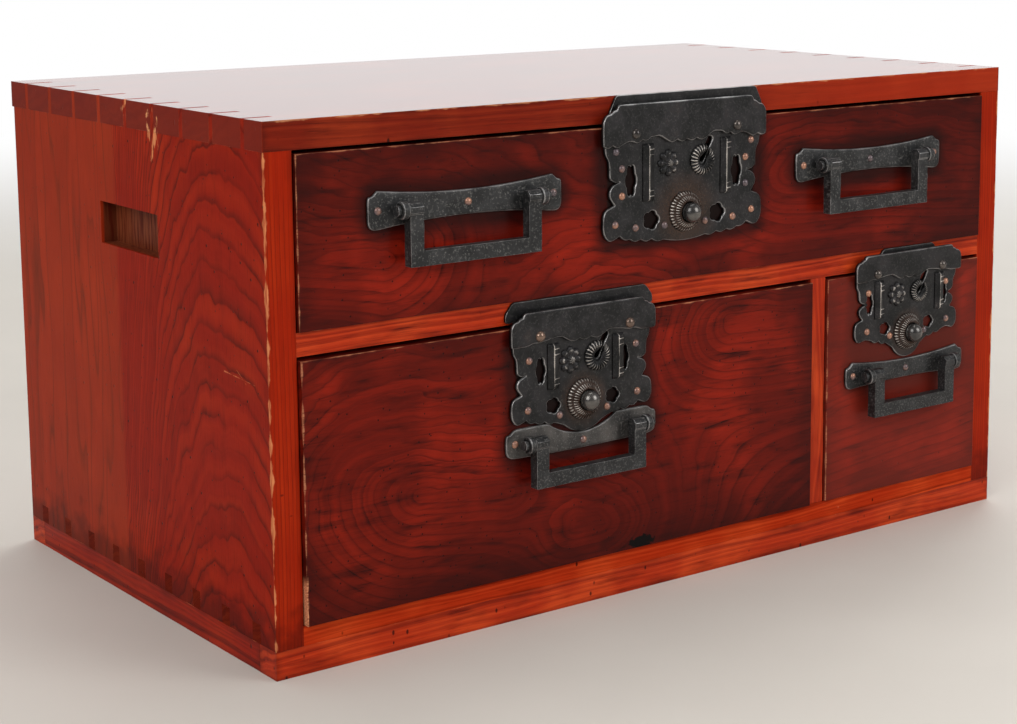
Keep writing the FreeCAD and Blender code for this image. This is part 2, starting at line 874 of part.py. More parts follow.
eye_master = eye()
eye_bore = eye_hole()


def lock_spots(bay):
    """Nail spots on the lock plate and rivet spots on its cover."""
    half = bay.own.lock_width / 2
    plate_face = bay.face - size.lock_plate_thick
    nails = []
    rivets = []
    for hand in (-1, 1):
        for across, down in bay.nailing:
            nails.append((bay.middle + hand * half * across, plate_face, bay.lock_top - bay.own.lock_corner * down))
        x = bay.middle + hand * half * RIVET_SPOT[0]
        z = bay.lock_top - bay.own.lock_cover * RIVET_SPOT[1]
        rivets.append((x, plate_face - size.lock_cover_thick, z))
    return nails, rivets


def handle_places(bay):
    """Middles of the handles of a drawer: beside the upper lock, and just under the foot of the other two."""
    own = bay.own
    if bay is upper:
        z = bay.head - own.handle_drop
        return [(bay.middle + hand * own.handle_offset, z) for hand in (-1, 1)]
    foot = bay.lock_top - own.lock_height
    return [(bay.middle, foot - own.handle_gap - own.handle_height / 2 + own.handle_top_dip)]


def eye_spots(bay):
    """Middles of the eyes of every bail on a drawer."""
    offset = bay.own.bail_width / 2 + size.pivot_gap + size.eye_thick / 2
    y = bay.face - size.pivot_reach
    return [(x + hand * offset, y, z) for x, z in handle_places(bay) for hand in (-1, 1)]


def handle_nail_spots(bay):
    """Nails through the middle and both ends of every handle plate on a drawer."""
    reach_x = bay.own.handle_width / 2 - size.handle_nail_inset
    low = (bay.own.handle_foot_dip - bay.own.handle_top_dip) / 2
    y = bay.face - size.handle_plate_thick
    spots = []
    for x, z in handle_places(bay):
        spots += [(x - reach_x, y, z), (x, y, z + low), (x + reach_x, y, z)]
    return spots


def scaled(half, drop, profile, start=0):
    """Points of a half outline from their shares of a half width and of a drop."""
    return [(half * across, -(start + drop * down), 0) for across, down in profile]


def crescent(top, foot, bows, hand):
    """A pierced crescent between two points: two facets on its outer edge and one bend on its inner edge."""
    across = foot[0] - top[0]
    along = foot[1] - top[1]
    length = math.hypot(across.value, along.value)

    def beside(share, bow):
        x = top[0] + across * share - along * (hand * bow / length)
        z = top[1] + along * share + across * (hand * bow / length)
        return x, z, 0

    outer, inside = (bow.value for bow in bows)
    rim = [(*top, 0), beside(1 / 3, outer), beside(2 / 3, outer), (*foot, 0), beside(1 / 2, inside)]
    return rim if hand > 0 else rim[::-1]


def key_slot(bay):
    """The slanted slot of the keyhole: round ends, from the middle of the rosette up to the right."""
    along = (math.cos(KEY_SLANT), math.sin(KEY_SLANT))
    half = size.key_slot_half_width
    corners = []
    end = half * KEY_END_BOW
    for reach_share, side, bow in ((1, 1, end), (1, -1, 0), (0, -1, end), (0, 1, 0)):
        run = size.key_slot_length * reach_share
        x = run * along[0] - half * side * along[1]
        z = run * along[1] + half * side * along[0]
        corners.append((x + bay.own.key_offset, z - bay.own.key_drop, bow))
    return corners


def lock_plate(bay):
    """The pierced and scalloped plate of a lock, with its keyhole, button hole and nail holes."""
    own = bay.own
    half = own.lock_width / 2
    body = new_body(f"{bay.name}_lock_plate_blank")
    top = own.lock_lap + size.drawer_top_gap + size.plate_top_setback
    tongue = own.lock_height - own.lock_corner
    side = scaled(half, own.lock_corner, PLATE_SIDE)
    foot = scaled(half, tongue, PLATE_FOOT, own.lock_corner)
    tip_x, tip_z, _ = foot[-1]
    foot[-1] = (tip_x, tip_z, own.lock_height + tip_z)
    edge = [(side[0][0], -top, 0)] + side + foot
    pad(body, outline(sketch(body, "XZ_Plane"), mirrored(edge)), size.lock_plate_thick)
    pierced = sketch(body, "XZ_Plane")
    beside_bar = own.bar_offset + size.guide_bar_width / 2 + size.guide_bar_gap
    (waist_top, waist_foot), waist_bows = WAIST_CRESCENT
    foot_top, foot_end, foot_bows = FOOT_CRESCENT
    for hand in (-1, 1):
        waist = [(hand * beside_bar, -own.lock_corner * down) for down in (waist_top, waist_foot)]
        lower = [(hand * half * across, -own.lock_corner * down) for across, down in (foot_top, foot_end)]
        for points, bows in ((waist, waist_bows), (lower, foot_bows)):
            outline(pierced, crescent(*points, [half * bow for bow in bows], hand))
    pocket(body, pierced, size.lock_plate_thick)
    pocket(body, outline(sketch(body, "XZ_Plane"), key_slot(bay)), size.lock_plate_thick)
    stem = size.button_stem_width / 2 + size.running_gap
    button_hole = sketch(body, "XZ_Plane")
    rectangle(button_hole, (-stem, -own.button_drop - stem), (stem, -own.button_drop + stem))
    body.Tip = pocket(body, button_hole, size.lock_plate_thick)
    place(body, bay.middle, bay.face, bay.lock_top)
    label = f"{bay.name}_lock_plate"
    nails, rivets = lock_spots(bay)
    keep(label, carve(label, body, [copies(f"{label}_holes", nail_bore, nails + rivets)]))


def lock_cover(bay):
    """The cover across the top of a lock, which laps the strike plate."""
    own = bay.own
    half = own.lock_width / 2
    body = new_body(f"{bay.name}_lock_cover_blank")
    edge = scaled(half, own.lock_cover, COVER_HALF)
    pad(body, outline(sketch(body, "XZ_Plane"), mirrored(edge)), size.lock_cover_thick)
    place(body, bay.middle, bay.face - size.lock_plate_thick, bay.lock_top)
    label = f"{bay.name}_lock_cover"
    keep(label, carve(label, body, [copies(f"{label}_holes", nail_bore, lock_spots(bay)[1])]))


def petal_tier(body, radius, height, count, bore=None):
    """One tier of pointed petals, from the plate up, round an open middle where there is a bore."""
    drawing = petals(sketch(body, "XZ_Plane"), radius, radius - size.petal_notch, count)
    if bore is not None:
        polygon(drawing, bore, count)
    body.Tip = pad(body, drawing, height)


def button_washer(bay):
    """The stepped washer round a lock's button, two tiers of petals like a chrysanthemum."""
    body = new_body(f"{bay.name}_washer")
    petal_tier(body, size.washer_radius, size.washer_step, WASHER_PETALS, size.washer_bore_radius)
    petal_tier(body, size.washer_step_radius, size.washer_height, WASHER_PETALS, size.washer_bore_radius)
    return place(body, bay.middle, bay.face - size.lock_plate_thick, bay.lock_top - bay.own.button_drop)


def key_rosette(bay):
    """The rosette round a keyhole, two tiers of petals open along the key's slot."""
    own = bay.own
    body = new_body(f"{bay.name}_rosette")
    petal_tier(body, own.rosette_radius, size.rosette_step, ROSETTE_PETALS)
    petal_tier(body, size.rosette_step_radius, size.rosette_height, ROSETTE_PETALS)
    slot = sketch(body, "XZ_Plane")
    outline(slot, [(x - own.key_offset, z + own.key_drop, bow) for x, z, bow in key_slot(bay)])
    body.Tip = pocket(body, slot, size.rosette_height)
    x = bay.middle + own.key_offset
    return place(body, x, bay.face - size.lock_plate_thick, bay.lock_top - own.key_drop)


def flower_boss(bay):
    """The boss of six blunt petals beside a keyhole."""
    body = new_body(f"{bay.name}_flower")
    bloom = sketch(body, "XZ_Plane")
    petals(bloom, size.boss_radius, size.boss_radius - size.boss_petal_notch, BOSS_PETALS, BOSS_BLUNTNESS)
    pad(body, bloom, size.boss_petal_height)
    heart = polygon(sketch(body, "XZ_Plane"), size.boss_heart_radius, BOSS_PETALS)
    body.Tip = pad(body, heart, size.boss_heart_height)
    x = bay.middle - bay.own.key_offset
    return place(body, x, bay.face - size.lock_plate_thick, bay.lock_top - bay.own.key_drop)


def guide_bar(bay, hand):
    """One of the two rounded bars that mark the prongs of the bolt."""
    body = new_body(f"{bay.name}_guide_bar")
    section = scaled(size.guide_bar_width / 2, size.guide_bar_height, BAR_HALF)
    pad(body, outline(sketch(body, "XY_Plane"), mirrored(section)), bay.own.bar_length)
    return place(body, bay.middle + hand * bay.own.bar_offset, bay.face - size.lock_plate_thick, pocket_floor(bay))


def lock_trim(bay):
    """The raised ornaments on a lock plate, each a solid of its own."""
    ornaments = [guide_bar(bay, hand) for hand in (-1, 1)]
    ornaments += [flower_boss(bay), key_rosette(bay), button_washer(bay)]
    label = f"{bay.name}_lock_trim"
    keep(label, collect(label, ornaments))


def lock_button(bay):
    """The domed button on a square stem that slides through the plate."""
    label = f"{bay.name}_lock_button"
    tiers = (
        (size.button_brow_radius, size.button_radius, size.button_throat, size.button_shoulder),
        (size.button_radius, size.button_brow_radius, size.button_shoulder, size.button_brow),
        (size.button_brow_radius, size.button_crown_radius, size.button_brow, size.button_height),
    )
    plate_face = bay.face - size.lock_plate_thick
    z = bay.lock_top - bay.own.button_drop
    half = size.button_stem_width / 2
    stem_end = bay.face + size.button_stem_length
    low = (bay.middle - half, plate_face - size.button_throat, z - half)
    solids = [block(f"{label}_stem", low, (bay.middle + half, stem_end, z + half))]
    for tier in tiers:
        solids.append(place(frustum(f"{label}_tier", BUTTON_SIDES, *tier), bay.middle, plate_face, z))
    keep(label, join(label, solids))


def pocket_floor(bay):
    """Height of the floor of the pocket that a lock's bolt slides in."""
    return bay.lock_top - bay.own.lock_cover - size.guide_bar_gap - bay.own.bar_length


def lock_bolt(bay):
    """The forked bolt, drawn back, with a prong behind each guide bar."""
    label = f"{bay.name}_lock_bolt"
    body = new_body(label)
    half = size.bolt_prong_width / 2
    low = pocket_floor(bay) + size.running_gap
    bar_top = low + size.bolt_bar_height
    top = bay.high - size.running_gap
    fork = [
        (bay.own.bar_offset - half, bar_top, 0),
        (bay.own.bar_offset - half, top, 0),
        (bay.own.bar_offset + half, top, 0),
        (bay.own.bar_offset + half, low, 0),
    ]
    pad(body, outline(sketch(body, "XZ_Plane"), mirrored(fork)), size.bolt_thick)
    keep(label, place(body, bay.middle, bay.face + size.bolt_setback + size.bolt_thick, 0))


def lock_cutters(bay):
    """What a lock takes out of a drawer front: the bolt's pocket, the stem's pocket and the prongs' slots."""
    gap = size.running_gap
    half = size.bolt_prong_width / 2 + gap
    low = pocket_floor(bay)
    top = bay.lock_top - bay.own.lock_cover - size.lock_pocket_margin
    wide = bay.own.bar_offset + half
    far = bay.face + size.bolt_setback + size.bolt_thick + gap
    stem = size.button_stem_width / 2 + size.lock_pocket_margin
    stem_low = bay.lock_top - bay.own.button_drop - stem
    cutters = [
        block(f"{bay.name}_bolt_pocket", (bay.middle - wide, bay.face, low), (bay.middle + wide, far, top)),
        block(f"{bay.name}_stem_pocket", (bay.middle - stem, bay.face, stem_low), (bay.middle + stem, far, low)),
    ]
    near = bay.face + size.bolt_setback - gap
    for hand in (-1, 1):
        x = bay.middle + hand * bay.own.bar_offset
        cutters.append(block(f"{bay.name}_prong_slot", (x - half, near, top), (x + half, far, bay.high)))
    return cutters


def lock_nails(bay):
    """Every nail and rivet of a drawer's ironwork."""
    nails, rivets = lock_spots(bay)
    label = f"{bay.name}_drawer_nails"
    groups = [
        copies(f"{label}_small", nail, nails + handle_nail_spots(bay)),
        copies(f"{label}_large", rivet, rivets),
    ]
    keep(label, collect(label, groups))


def handle_plate(bay, number, x, z):
    """One handle plate, dipped along its edges and notched at its ends."""
    own = bay.own
    body = new_body(f"{bay.name}_handle_plate_{number}")
    half = own.handle_width / 2
    tall = own.handle_height / 2
    notch = size.handle_notch
    edge = [
        (own.handle_saddle / 2, tall, 0),
        (half - 2 * notch, tall, 0),
        (half - notch, tall - notch, 0),
        (half, tall - notch, 0),
        (half, notch - tall, 0),
        (half - notch, -tall, -own.handle_foot_dip),
    ]
    outline(sketch(body, "XZ_Plane"), mirrored(edge, crown=-own.handle_top_dip))
    pad(body, body.Group[-1], size.handle_plate_thick)
    return place(body, x, bay.face, z)


def handle_plates(bay):
    """The plates of a drawer's handles, with the holes for their eyes and nails."""
    blanks = [handle_plate(bay, number, x, z) for number, (x, z) in enumerate(handle_places(bay))]
    several = len(blanks) > 1
    label = f"{bay.name}_handle_plates" if several else f"{bay.name}_handle_plate"
    holes = [
        copies(f"{label}_eye_holes", eye_bore, eye_spots(bay)),
        copies(f"{label}_nail_holes", nail_bore, handle_nail_spots(bay)),
    ]
    blank = collect(f"{label}_blanks", blanks) if several else blanks[0]
    keep(label, carve(label, blank, holes))
    keep(f"{bay.name}_handle_eyes", copies(f"{bay.name}_handle_eyes", eye_master, eye_spots(bay)))


def bail(bay, label, x, z):
    """A square bail: two uprights and a grip, with a pin out through each eye."""
    body = new_body(label)
    half = bay.own.bail_width / 2
    bar = size.bail_bar_width
    thick = size.bail_bar_thick
    drop = bay.own.bail_drop
    loop = [(half - bar, bar - drop, 0), (half - bar, Size.of(0), 0), (half, Size.of(0), 0), (half, -drop, 0)]
    pad(body, outline(sketch(body, "XZ_Plane", -thick / 2), mirrored(loop)), thick)
    for hand in (-1, 1):
        outward = hand > 0
        boss = polygon(sketch(body, "YZ_Plane", hand * (half - bar)), size.bail_boss_radius, FORGED_SIDES)
        pad(body, boss, bar, along=outward)
        pin = circle(sketch(body, "YZ_Plane", hand * half), 0, 0, size.pivot_pin_radius)
        pin_length = size.pivot_gap + size.eye_thick + size.pivot_pin_stub
        body.Tip = pad(body, pin, pin_length, along=outward)
    keep(label, place(body, x, bay.face - size.pivot_reach, z))


def bails(bay):
    """The bail of every handle on a drawer."""
    sides = ("left_", "right_") if bay is upper else ("",)
    for side, (x, z) in zip(sides, handle_places(bay)):
        bail(bay, f"{bay.name}_{side}bail", x, z)


def drawer_pegs(bay):
    """Peg spots of a drawer: those in its front, and those in its back, for each side."""
    side_top = bay.high - size.drawer_side_drop
    front_y = bay.face + (size.front_lip + size.front_thick) / 2
    back_y = bay.rear - size.drawer_back_thick / 2
    front_heights = [bay.low + (side_top - bay.low) * share for share in (1 / 5, 4 / 5)]
    back_low = bay.low + size.drawer_bottom_thick
    back_top = side_top - size.drawer_back_drop
    back_heights = [back_low + (back_top - back_low) * share for share in (1 / 4, 3 / 4)]
    spots = {}
    for hand, x in (("left", bay.left), ("right", bay.right - size.peg_length)):
        spots[hand, "front"] = [(x, front_y, z) for z in front_heights]
        spots[hand, "back"] = [(x, back_y, z) for z in back_heights]
    return spots


def drawer_box(bay):
    """A drawer: a thick front that stands proud, thin sides let into it, a low back and a bottom."""
    name = f"{bay.name}_drawer"
    spots = drawer_pegs(bay)
    lip = bay.face + size.front_lip
    behind = bay.face + size.front_thick
    side_top = bay.high - size.drawer_side_drop
    in_left = bay.left + size.drawer_side_thick
    in_right = bay.right - size.drawer_side_thick
    bottom_top = bay.low + size.drawer_bottom_thick
    bottom_front = behind - size.drawer_bottom_lap
    nails, rivets = lock_spots(bay)
    front_cutters = [
        block(f"{name}_left_rabbet", (bay.left, lip, bay.low), (in_left, behind, side_top)),
        block(f"{name}_right_rabbet", (in_right, lip, bay.low), (bay.right, behind, side_top)),
        block(f"{name}_bottom_rabbet", (in_left, bottom_front, bay.low), (in_right, behind, bottom_top)),
        copies(f"{name}_front_peg_holes", peg_x, spots["left", "front"] + spots["right", "front"]),
        copies(f"{name}_nail_holes", nail_bore, nails + rivets + handle_nail_spots(bay)),
        copies(f"{name}_eye_holes", eye_bore, eye_spots(bay)),
    ]
    blank = block(f"{name}_front_blank", (bay.left, bay.face, bay.low), (bay.right, behind, bay.high))
    keep(f"{name}_front", carve(f"{name}_front", blank, front_cutters + lock_cutters(bay)))
    for hand, low_x, high_x in (("left", bay.left, in_left), ("right", in_right, bay.right)):
        label = f"{name}_{hand}_side"
        blank = block(f"{label}_blank", (low_x, lip, bay.low), (high_x, bay.rear, side_top))
        holes = copies(f"{label}_holes", peg_x, spots[hand, "front"] + spots[hand, "back"])
        keep(label, carve(label, blank, [holes]))
    back_front = bay.rear - size.drawer_back_thick
    back_top = side_top - size.drawer_back_drop
    blank = block(f"{name}_back_blank", (in_left, back_front, bottom_top), (in_right, bay.rear, back_top))
    holes = copies(f"{name}_back_holes", peg_x, spots["left", "back"] + spots["right", "back"])
    keep(f"{name}_back", carve(f"{name}_back", blank, [holes]))
    keep(f"{name}_bottom", block(f"{name}_bottom", (in_left, bottom_front, bay.low), (in_right, bay.rear, bottom_top)))
    every_spot = [spot for row in spots.values() for spot in row]
    keep(f"{name}_pegs", copies(f"{name}_pegs", peg_x, every_spot))


def check():
    """Stops unless every object of the document is sound."""
    doc.recompute()
    for item in doc.Objects:
        if "Invalid" in item.State or "Error" in item.State:
            raise RuntimeError(f"{item.Label} failed: {item.State}")
    for label, item in pieces.items():
        if item.Shape.isNull() or not item.Shape.isValid() or not item.Shape.Solids:
            raise RuntimeError(f"{label} has no sound shape")


def write():
    """One file for each sub-part."""
    os.makedirs("parts", exist_ok=True)
    for label, item in pieces.items():
        item.Shape.exportStep(os.path.join("parts", f"{label}.step"))
    print(f"{len(pieces)} sub-parts, {sum(len(item.Shape.Solids) for item in pieces.values())} solids")


side_board("left_side_board", -1, pegs_in_left, pegs_up_left)
side_board("right_side_board", 1, pegs_in_right, pegs_up_right)
top_board()
bottom_board()
base_frame()
back_board()
middle_rail()
middle_shelf()
partition()
strike_plates()
case_pegs()
for opening in bays:
    drawer_box(opening)
    lock_plate(opening)
    lock_cover(opening)
    lock_trim(opening)
    lock_button(opening)
    lock_bolt(opening)
    lock_nails(opening)
    handle_plates(opening)
    bails(opening)
check()
write()
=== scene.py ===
# %% [markdown]
# A small sea chest in red lacquer, with three drawers and forged iron mounts.
# The frame that is loaded here already has every board, plate and bail in its place and at its real size.
# It also knows which pieces slide, swing and press, so nothing has to be fitted by eye.
# What is left for this lesson is the craft: softened edges, wood grain, wear, iron and light.

# %% Load the frame
import json
import math
import bmesh
import bpy
from mathutils import Matrix, Vector, noise
from mathutils.geometry import tessellate_polygon

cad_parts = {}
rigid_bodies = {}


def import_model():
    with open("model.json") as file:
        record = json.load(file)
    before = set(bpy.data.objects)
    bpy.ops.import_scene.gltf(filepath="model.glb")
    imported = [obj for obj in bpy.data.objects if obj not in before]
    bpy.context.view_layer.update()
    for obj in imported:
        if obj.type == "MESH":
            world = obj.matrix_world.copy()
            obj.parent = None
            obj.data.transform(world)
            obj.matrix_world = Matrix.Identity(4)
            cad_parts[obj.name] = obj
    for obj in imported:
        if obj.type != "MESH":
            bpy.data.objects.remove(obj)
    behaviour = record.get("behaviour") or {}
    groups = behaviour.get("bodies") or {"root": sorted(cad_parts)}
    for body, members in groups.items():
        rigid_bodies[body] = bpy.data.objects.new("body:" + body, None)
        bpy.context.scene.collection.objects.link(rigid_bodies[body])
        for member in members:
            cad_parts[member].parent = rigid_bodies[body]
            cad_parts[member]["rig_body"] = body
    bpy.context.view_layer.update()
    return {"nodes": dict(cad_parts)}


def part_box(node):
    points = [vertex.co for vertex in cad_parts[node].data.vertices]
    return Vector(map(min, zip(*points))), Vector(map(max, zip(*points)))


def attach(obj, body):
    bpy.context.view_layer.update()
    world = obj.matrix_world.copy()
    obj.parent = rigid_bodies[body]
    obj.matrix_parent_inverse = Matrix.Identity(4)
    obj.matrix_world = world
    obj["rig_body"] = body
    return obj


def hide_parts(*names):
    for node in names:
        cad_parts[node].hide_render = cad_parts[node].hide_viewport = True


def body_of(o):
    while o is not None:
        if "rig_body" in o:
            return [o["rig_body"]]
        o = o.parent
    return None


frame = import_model()
nodes = frame["nodes"]
scene = bpy.context.scene
MM = 0.001

# %% [markdown]
# The camera stands where the photographer stood: in front of the chest and to its left, a little above it.
# One could frame the chest by hand, but this camera was worked out from the chest's straight edges.
# The small shift moves the picture without bending any upright line.

# %% Camera
STANDPOINT = Vector((-0.7937, -1.09125, 0.4083))
TURN_RIGHT = math.radians(37.38)
LOOK_DOWN = math.radians(9.04)
ROLL = math.radians(-0.234)
camera_data = bpy.data.cameras.new("camera")
camera_data.sensor_width = 36.0
camera_data.lens = 73.555
camera_data.shift_x = -0.0683
camera_data.shift_y = -0.1236
camera = bpy.data.objects.new("camera", camera_data)
aim = Matrix.Rotation(-TURN_RIGHT, 4, "Z") @ Matrix.Rotation(math.pi / 2 - LOOK_DOWN, 4, "X")
camera.matrix_world = Matrix.Translation(STANDPOINT) @ aim @ Matrix.Rotation(ROLL, 4, "Z")
scene.collection.objects.link(camera)
scene.camera = camera
scene.view_settings.view_transform = "Standard"
print("camera at", tuple(round(value, 3) for value in STANDPOINT))

# %% [markdown]
# Grain, rust and wear are all sums: a ring here, a cloud of noise there, a distance to an edge.
# Wiring such sums by hand in the node editor soon becomes a tangle.
# A tiny class lets Python's own signs do it: adding two values adds a node that adds them.

# %% Values that do sums
def sign(operation, swapped=False):
    """A method that adds one Math node for a sum of two terms."""

    def work(self, other):
        terms = (other, self) if swapped else (self, other)
        return self.bench.node("Math", {"operation": operation}, dict(enumerate(terms)))

    return work


class Value:
    """One output of a node, on which Python's arithmetic works."""

    def __init__(self, bench, socket):
        self.bench = bench
        self.socket = socket

    __add__ = __radd__ = sign("ADD")
    __mul__ = __rmul__ = sign("MULTIPLY")
    __sub__ = sign("SUBTRACT")
    __rsub__ = sign("SUBTRACT", swapped=True)
    __truediv__ = sign("DIVIDE")
    __rtruediv__ = sign("DIVIDE", swapped=True)
    __pow__ = sign("POWER")
    __lt__ = sign("LESS_THAN")
    __gt__ = sign("GREATER_THAN")
    least = sign("MINIMUM")
    most = sign("MAXIMUM")

    def __abs__(self):
        return self.bench.node("Math", {"operation": "ABSOLUTE"}, {0: self})

    def fraction(self):
        return self.bench.node("Math", {"operation": "FRACT"}, {0: self})

    def step(self, start, end):
        """A soft step from 0 at start to 1 at end."""
        sockets = {"Value": self, "From Min": start, "From Max": end}
        return self.bench.node("MapRange", {"interpolation_type": "SMOOTHSTEP"}, sockets)


print("values can be added, multiplied and compared")

# %% [markdown]
# A bench is where nodes are put down. Its one method takes the kind of node, its settings and its sockets.
# Settings go first, because some of them change which sockets a node shows.

# %% A bench for nodes
def fill_ramp(ramp, stops):
    """Gives a colour ramp its grey stops, each a position and a shade."""
    ramp.elements[0].position = stops[0][0]
    ramp.elements[-1].position = stops[-1][0]
    for position, _ in stops[1:-1]:
        ramp.elements.new(position)
    for element, (_, shade) in zip(ramp.elements, stops):
        element.color = (shade, shade, shade, 1.0)


class Bench:
    """A node tree with one method that adds a node to it."""

    def __init__(self, tree):
        self.tree = tree

    def feed(self, socket, value):
        if isinstance(value, Value):
            self.tree.links.new(value.socket, socket)
        elif socket.type == "RGBA" and len(value) == 3:
            socket.default_value = (*value, 1.0)
        else:
            socket.default_value = value

    def node(self, kind, settings=None, sockets=None, output=0):
        made = self.tree.nodes.new(f"ShaderNode{kind}")
        for name, setting in (settings or {}).items():
            if name == "stops":
                fill_ramp(made.color_ramp, setting)
            else:
                setattr(made, name, setting)
        for name, value in (sockets or {}).items():
            self.feed(made.inputs[name], value)
        return Value(self, made.outputs[output])


def paint(red, green, blue):
    """A colour as the eye reads it, from 0 to 255, turned into light."""
    parts = [part / 255 for part in (red, green, blue)]
    return tuple(((part + 0.055) / 1.055) ** 2.4 if part > 0.04 else part / 12.92 for part in parts)


print("bench ready")

# %% [markdown]
# A finish is the material of one kind of piece. It measures in millimetres from the chest's own origin,
# and these measures ride along when a drawer slides or a bail swings, so the grain never swims.
# Clouds of noise drawn out along one direction become fibres; small cells of noise become dents and pits.

# %% Finishes
class Finish(Bench):
    """A procedural material that measures in millimetres on the chest."""

    def __init__(self, name):
        self.material = bpy.data.materials.new(name)
        self.material.use_nodes = True
        super().__init__(self.material.node_tree)
        self.shader = self.tree.nodes["Principled BSDF"]
        own = self.node("TexCoord", output="Object")
        self.place = self.node("VectorMath", {"operation": "SCALE"}, {0: own, "Scale": 1 / MM})
        parts = self.node("SeparateXYZ", sockets={0: self.place}).socket.node
        self.axes = [Value(self, output) for output in parts.outputs]

    def shrunk(self, size, drawn=(1, 1, 1), shift=0.0):
        """The place counted in clouds of a given size, drawn out along an axis."""
        sockets = {0: self.place, 1: [1 / (size * part) for part in drawn], 2: [shift] * 3}
        return self.node("VectorMath", {"operation": "MULTIPLY_ADD"}, sockets)

    def cloud(self, size, drawn=(1, 1, 1), detail=2.0, shift=0.0):
        """Soft noise from 0 to 1, mostly near the middle."""
        sockets = {"Vector": self.shrunk(size, drawn, shift), "Scale": 1.0, "Detail": detail}
        return self.node("TexNoise", sockets=sockets)

    def specks(self, size, radius, share, shift=0.0, drawn=(1, 1, 1)):
        """Scattered spots: a share of the cells of a given size has one."""
        cell = self.node("TexVoronoi", sockets={"Vector": self.shrunk(size, drawn, shift), "Scale": 1.0})
        chance = Value(self, cell.socket.node.outputs["Color"])
        return cell.step(radius, radius / 2) * (chance < share)

    def blend(self, one, other, share):
        """One colour with a share of another laid over it."""
        return self.node("Mix", {"data_type": "RGBA"}, {0: share, 6: one, 7: other}, output=2)

    def bump(self, height, strength, depth):
        sockets = {"Height": height, "Strength": strength, "Distance": depth * MM}
        self.set("Normal", self.node("Bump", sockets=sockets))

    def set(self, name, value):
        self.feed(self.shader.inputs[name], value)


def box_of(node):
    """A node's box in millimetres."""
    return [[value / MM for value in corner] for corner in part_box(node)]


print("finishes measure in millimetres")

# %% [markdown]
# The chest stands on a plain pale floor that fades into a white room, so nothing competes with the lacquer.
# The room is white only where the camera or a glossy surface looks at it, and a dim glow for all else.
# Its far side is bright, so the polished top catches it at a low angle, as it would catch a window.

# %% Room
ROOM_GLOW = 0.40
FAR_SIDE = Vector((0.607, 0.795, 0.0))
FAR_FADE = (0.25, 0.8)
NEAR_SHINE = 0.15
world = bpy.data.worlds.new("studio")
world.use_nodes = True
scene.world = world
room = Bench(world.node_tree)
backing = world.node_tree.nodes["Background"]
rays = room.node("LightPath").socket.node
looked_at = Value(room, rays.outputs["Is Camera Ray"])
mirrored = Value(room, rays.outputs["Is Glossy Ray"]) + Value(room, rays.outputs["Is Transmission Ray"])
direction = room.node("TexCoord", output="Generated")
toward = room.node("VectorMath", {"operation": "DOT_PRODUCT"}, {0: direction, 1: FAR_SIDE}, output="Value")
shine = NEAR_SHINE + (1 - NEAR_SHINE) * toward.step(*FAR_FADE)
seen = looked_at.most(mirrored * shine)
plain = (1 - looked_at).least(1 - mirrored.least(1.0)) * ROOM_GLOW
room.feed(backing.inputs["Color"], (1.0, 1.0, 1.0))
room.feed(backing.inputs["Strength"], seen + plain)
print("room glow", ROOM_GLOW)

# %% [markdown]
# The floor is one square of four corners. One flat colour would look printed, so two tones drift together.
# Far from the chest it fades to plain white for the camera, so its edge never shows.

# %% Floor
FLOOR_SIZE = 12.0
FADE = (900.0, 2600.0)
FLOOR_PAINT = paint(206, 200, 191)
FLOOR_DRIFT = paint(209, 203, 194)
SQUARE = ((-1, -1), (1, -1), (1, 1), (-1, 1))
floor_finish = Finish("pale_floor")
across, back, _ = floor_finish.axes
mottle = floor_finish.cloud(160.0, detail=3.0)
floor_tone = floor_finish.blend(FLOOR_PAINT, FLOOR_DRIFT, mottle.step(0.35, 0.65))
floor_finish.set("Base Color", floor_tone)
floor_finish.set("Roughness", 0.55 + 0.2 * mottle)
floor_finish.bump(floor_finish.cloud(2.5, detail=3.0), 0.15, 0.3)
reach = (across * across + back * back) ** 0.5
floor_rays = floor_finish.node("LightPath").socket.node
fade = reach.step(*FADE) * Value(floor_finish, floor_rays.outputs["Is Camera Ray"])
white = floor_finish.node("Emission", sockets={"Color": (1.0, 1.0, 1.0), "Strength": 1.0})
lit = Value(floor_finish, floor_finish.shader.outputs["BSDF"])
mixed = floor_finish.node("MixShader", sockets={0: fade, 1: lit, 2: white})
floor_finish.feed(floor_finish.tree.nodes["Material Output"].inputs["Surface"], mixed)
floor_mesh = bpy.data.meshes.new("floor")
corners = [(x * FLOOR_SIZE / 2, y * FLOOR_SIZE / 2, 0.0) for x, y in SQUARE]
floor_mesh.from_pydata(corners, [], [(0, 1, 2, 3)])
floor_mesh.materials.append(floor_finish.material)
floor = bpy.data.objects.new("floor", floor_mesh)
scene.collection.objects.link(floor)
print("floor", FLOOR_SIZE, "m wide")

# %% [markdown]
# Four soft lamps light the chest: the strongest at the left front, others at the right, above and behind.
# Small lamps would throw hard shadows. Wide ones are used, because iron shows a lamp's shape as a shine.

# %% Lamps
CHEST_MIDDLE = Vector((0.0, 0.0, 0.15))


def lamp(name, place, width, power):
    """A square soft lamp that looks at the middle of the chest."""
    data = bpy.data.lights.new(name, "AREA")
    data.shape = "SQUARE"
    data.size = width
    data.energy = power
    made = bpy.data.objects.new(name, data)
    made.location = place
    made.rotation_euler = (CHEST_MIDDLE - Vector(place)).to_track_quat("-Z", "Y").to_euler()
    scene.collection.objects.link(made)


lamp("left_lamp", place=(-2.0, -1.3, 1.7), width=1.6, power=36.0)
lamp("right_lamp", place=(1.4, -2.2, 1.3), width=1.4, power=24.0)
lamp("top_lamp", place=(0.3, 0.4, 2.4), width=1.8, power=22.0)
lamp("back_lamp", place=(1.8, 1.2, 2.2), width=1.4, power=20.0)
print("four lamps")

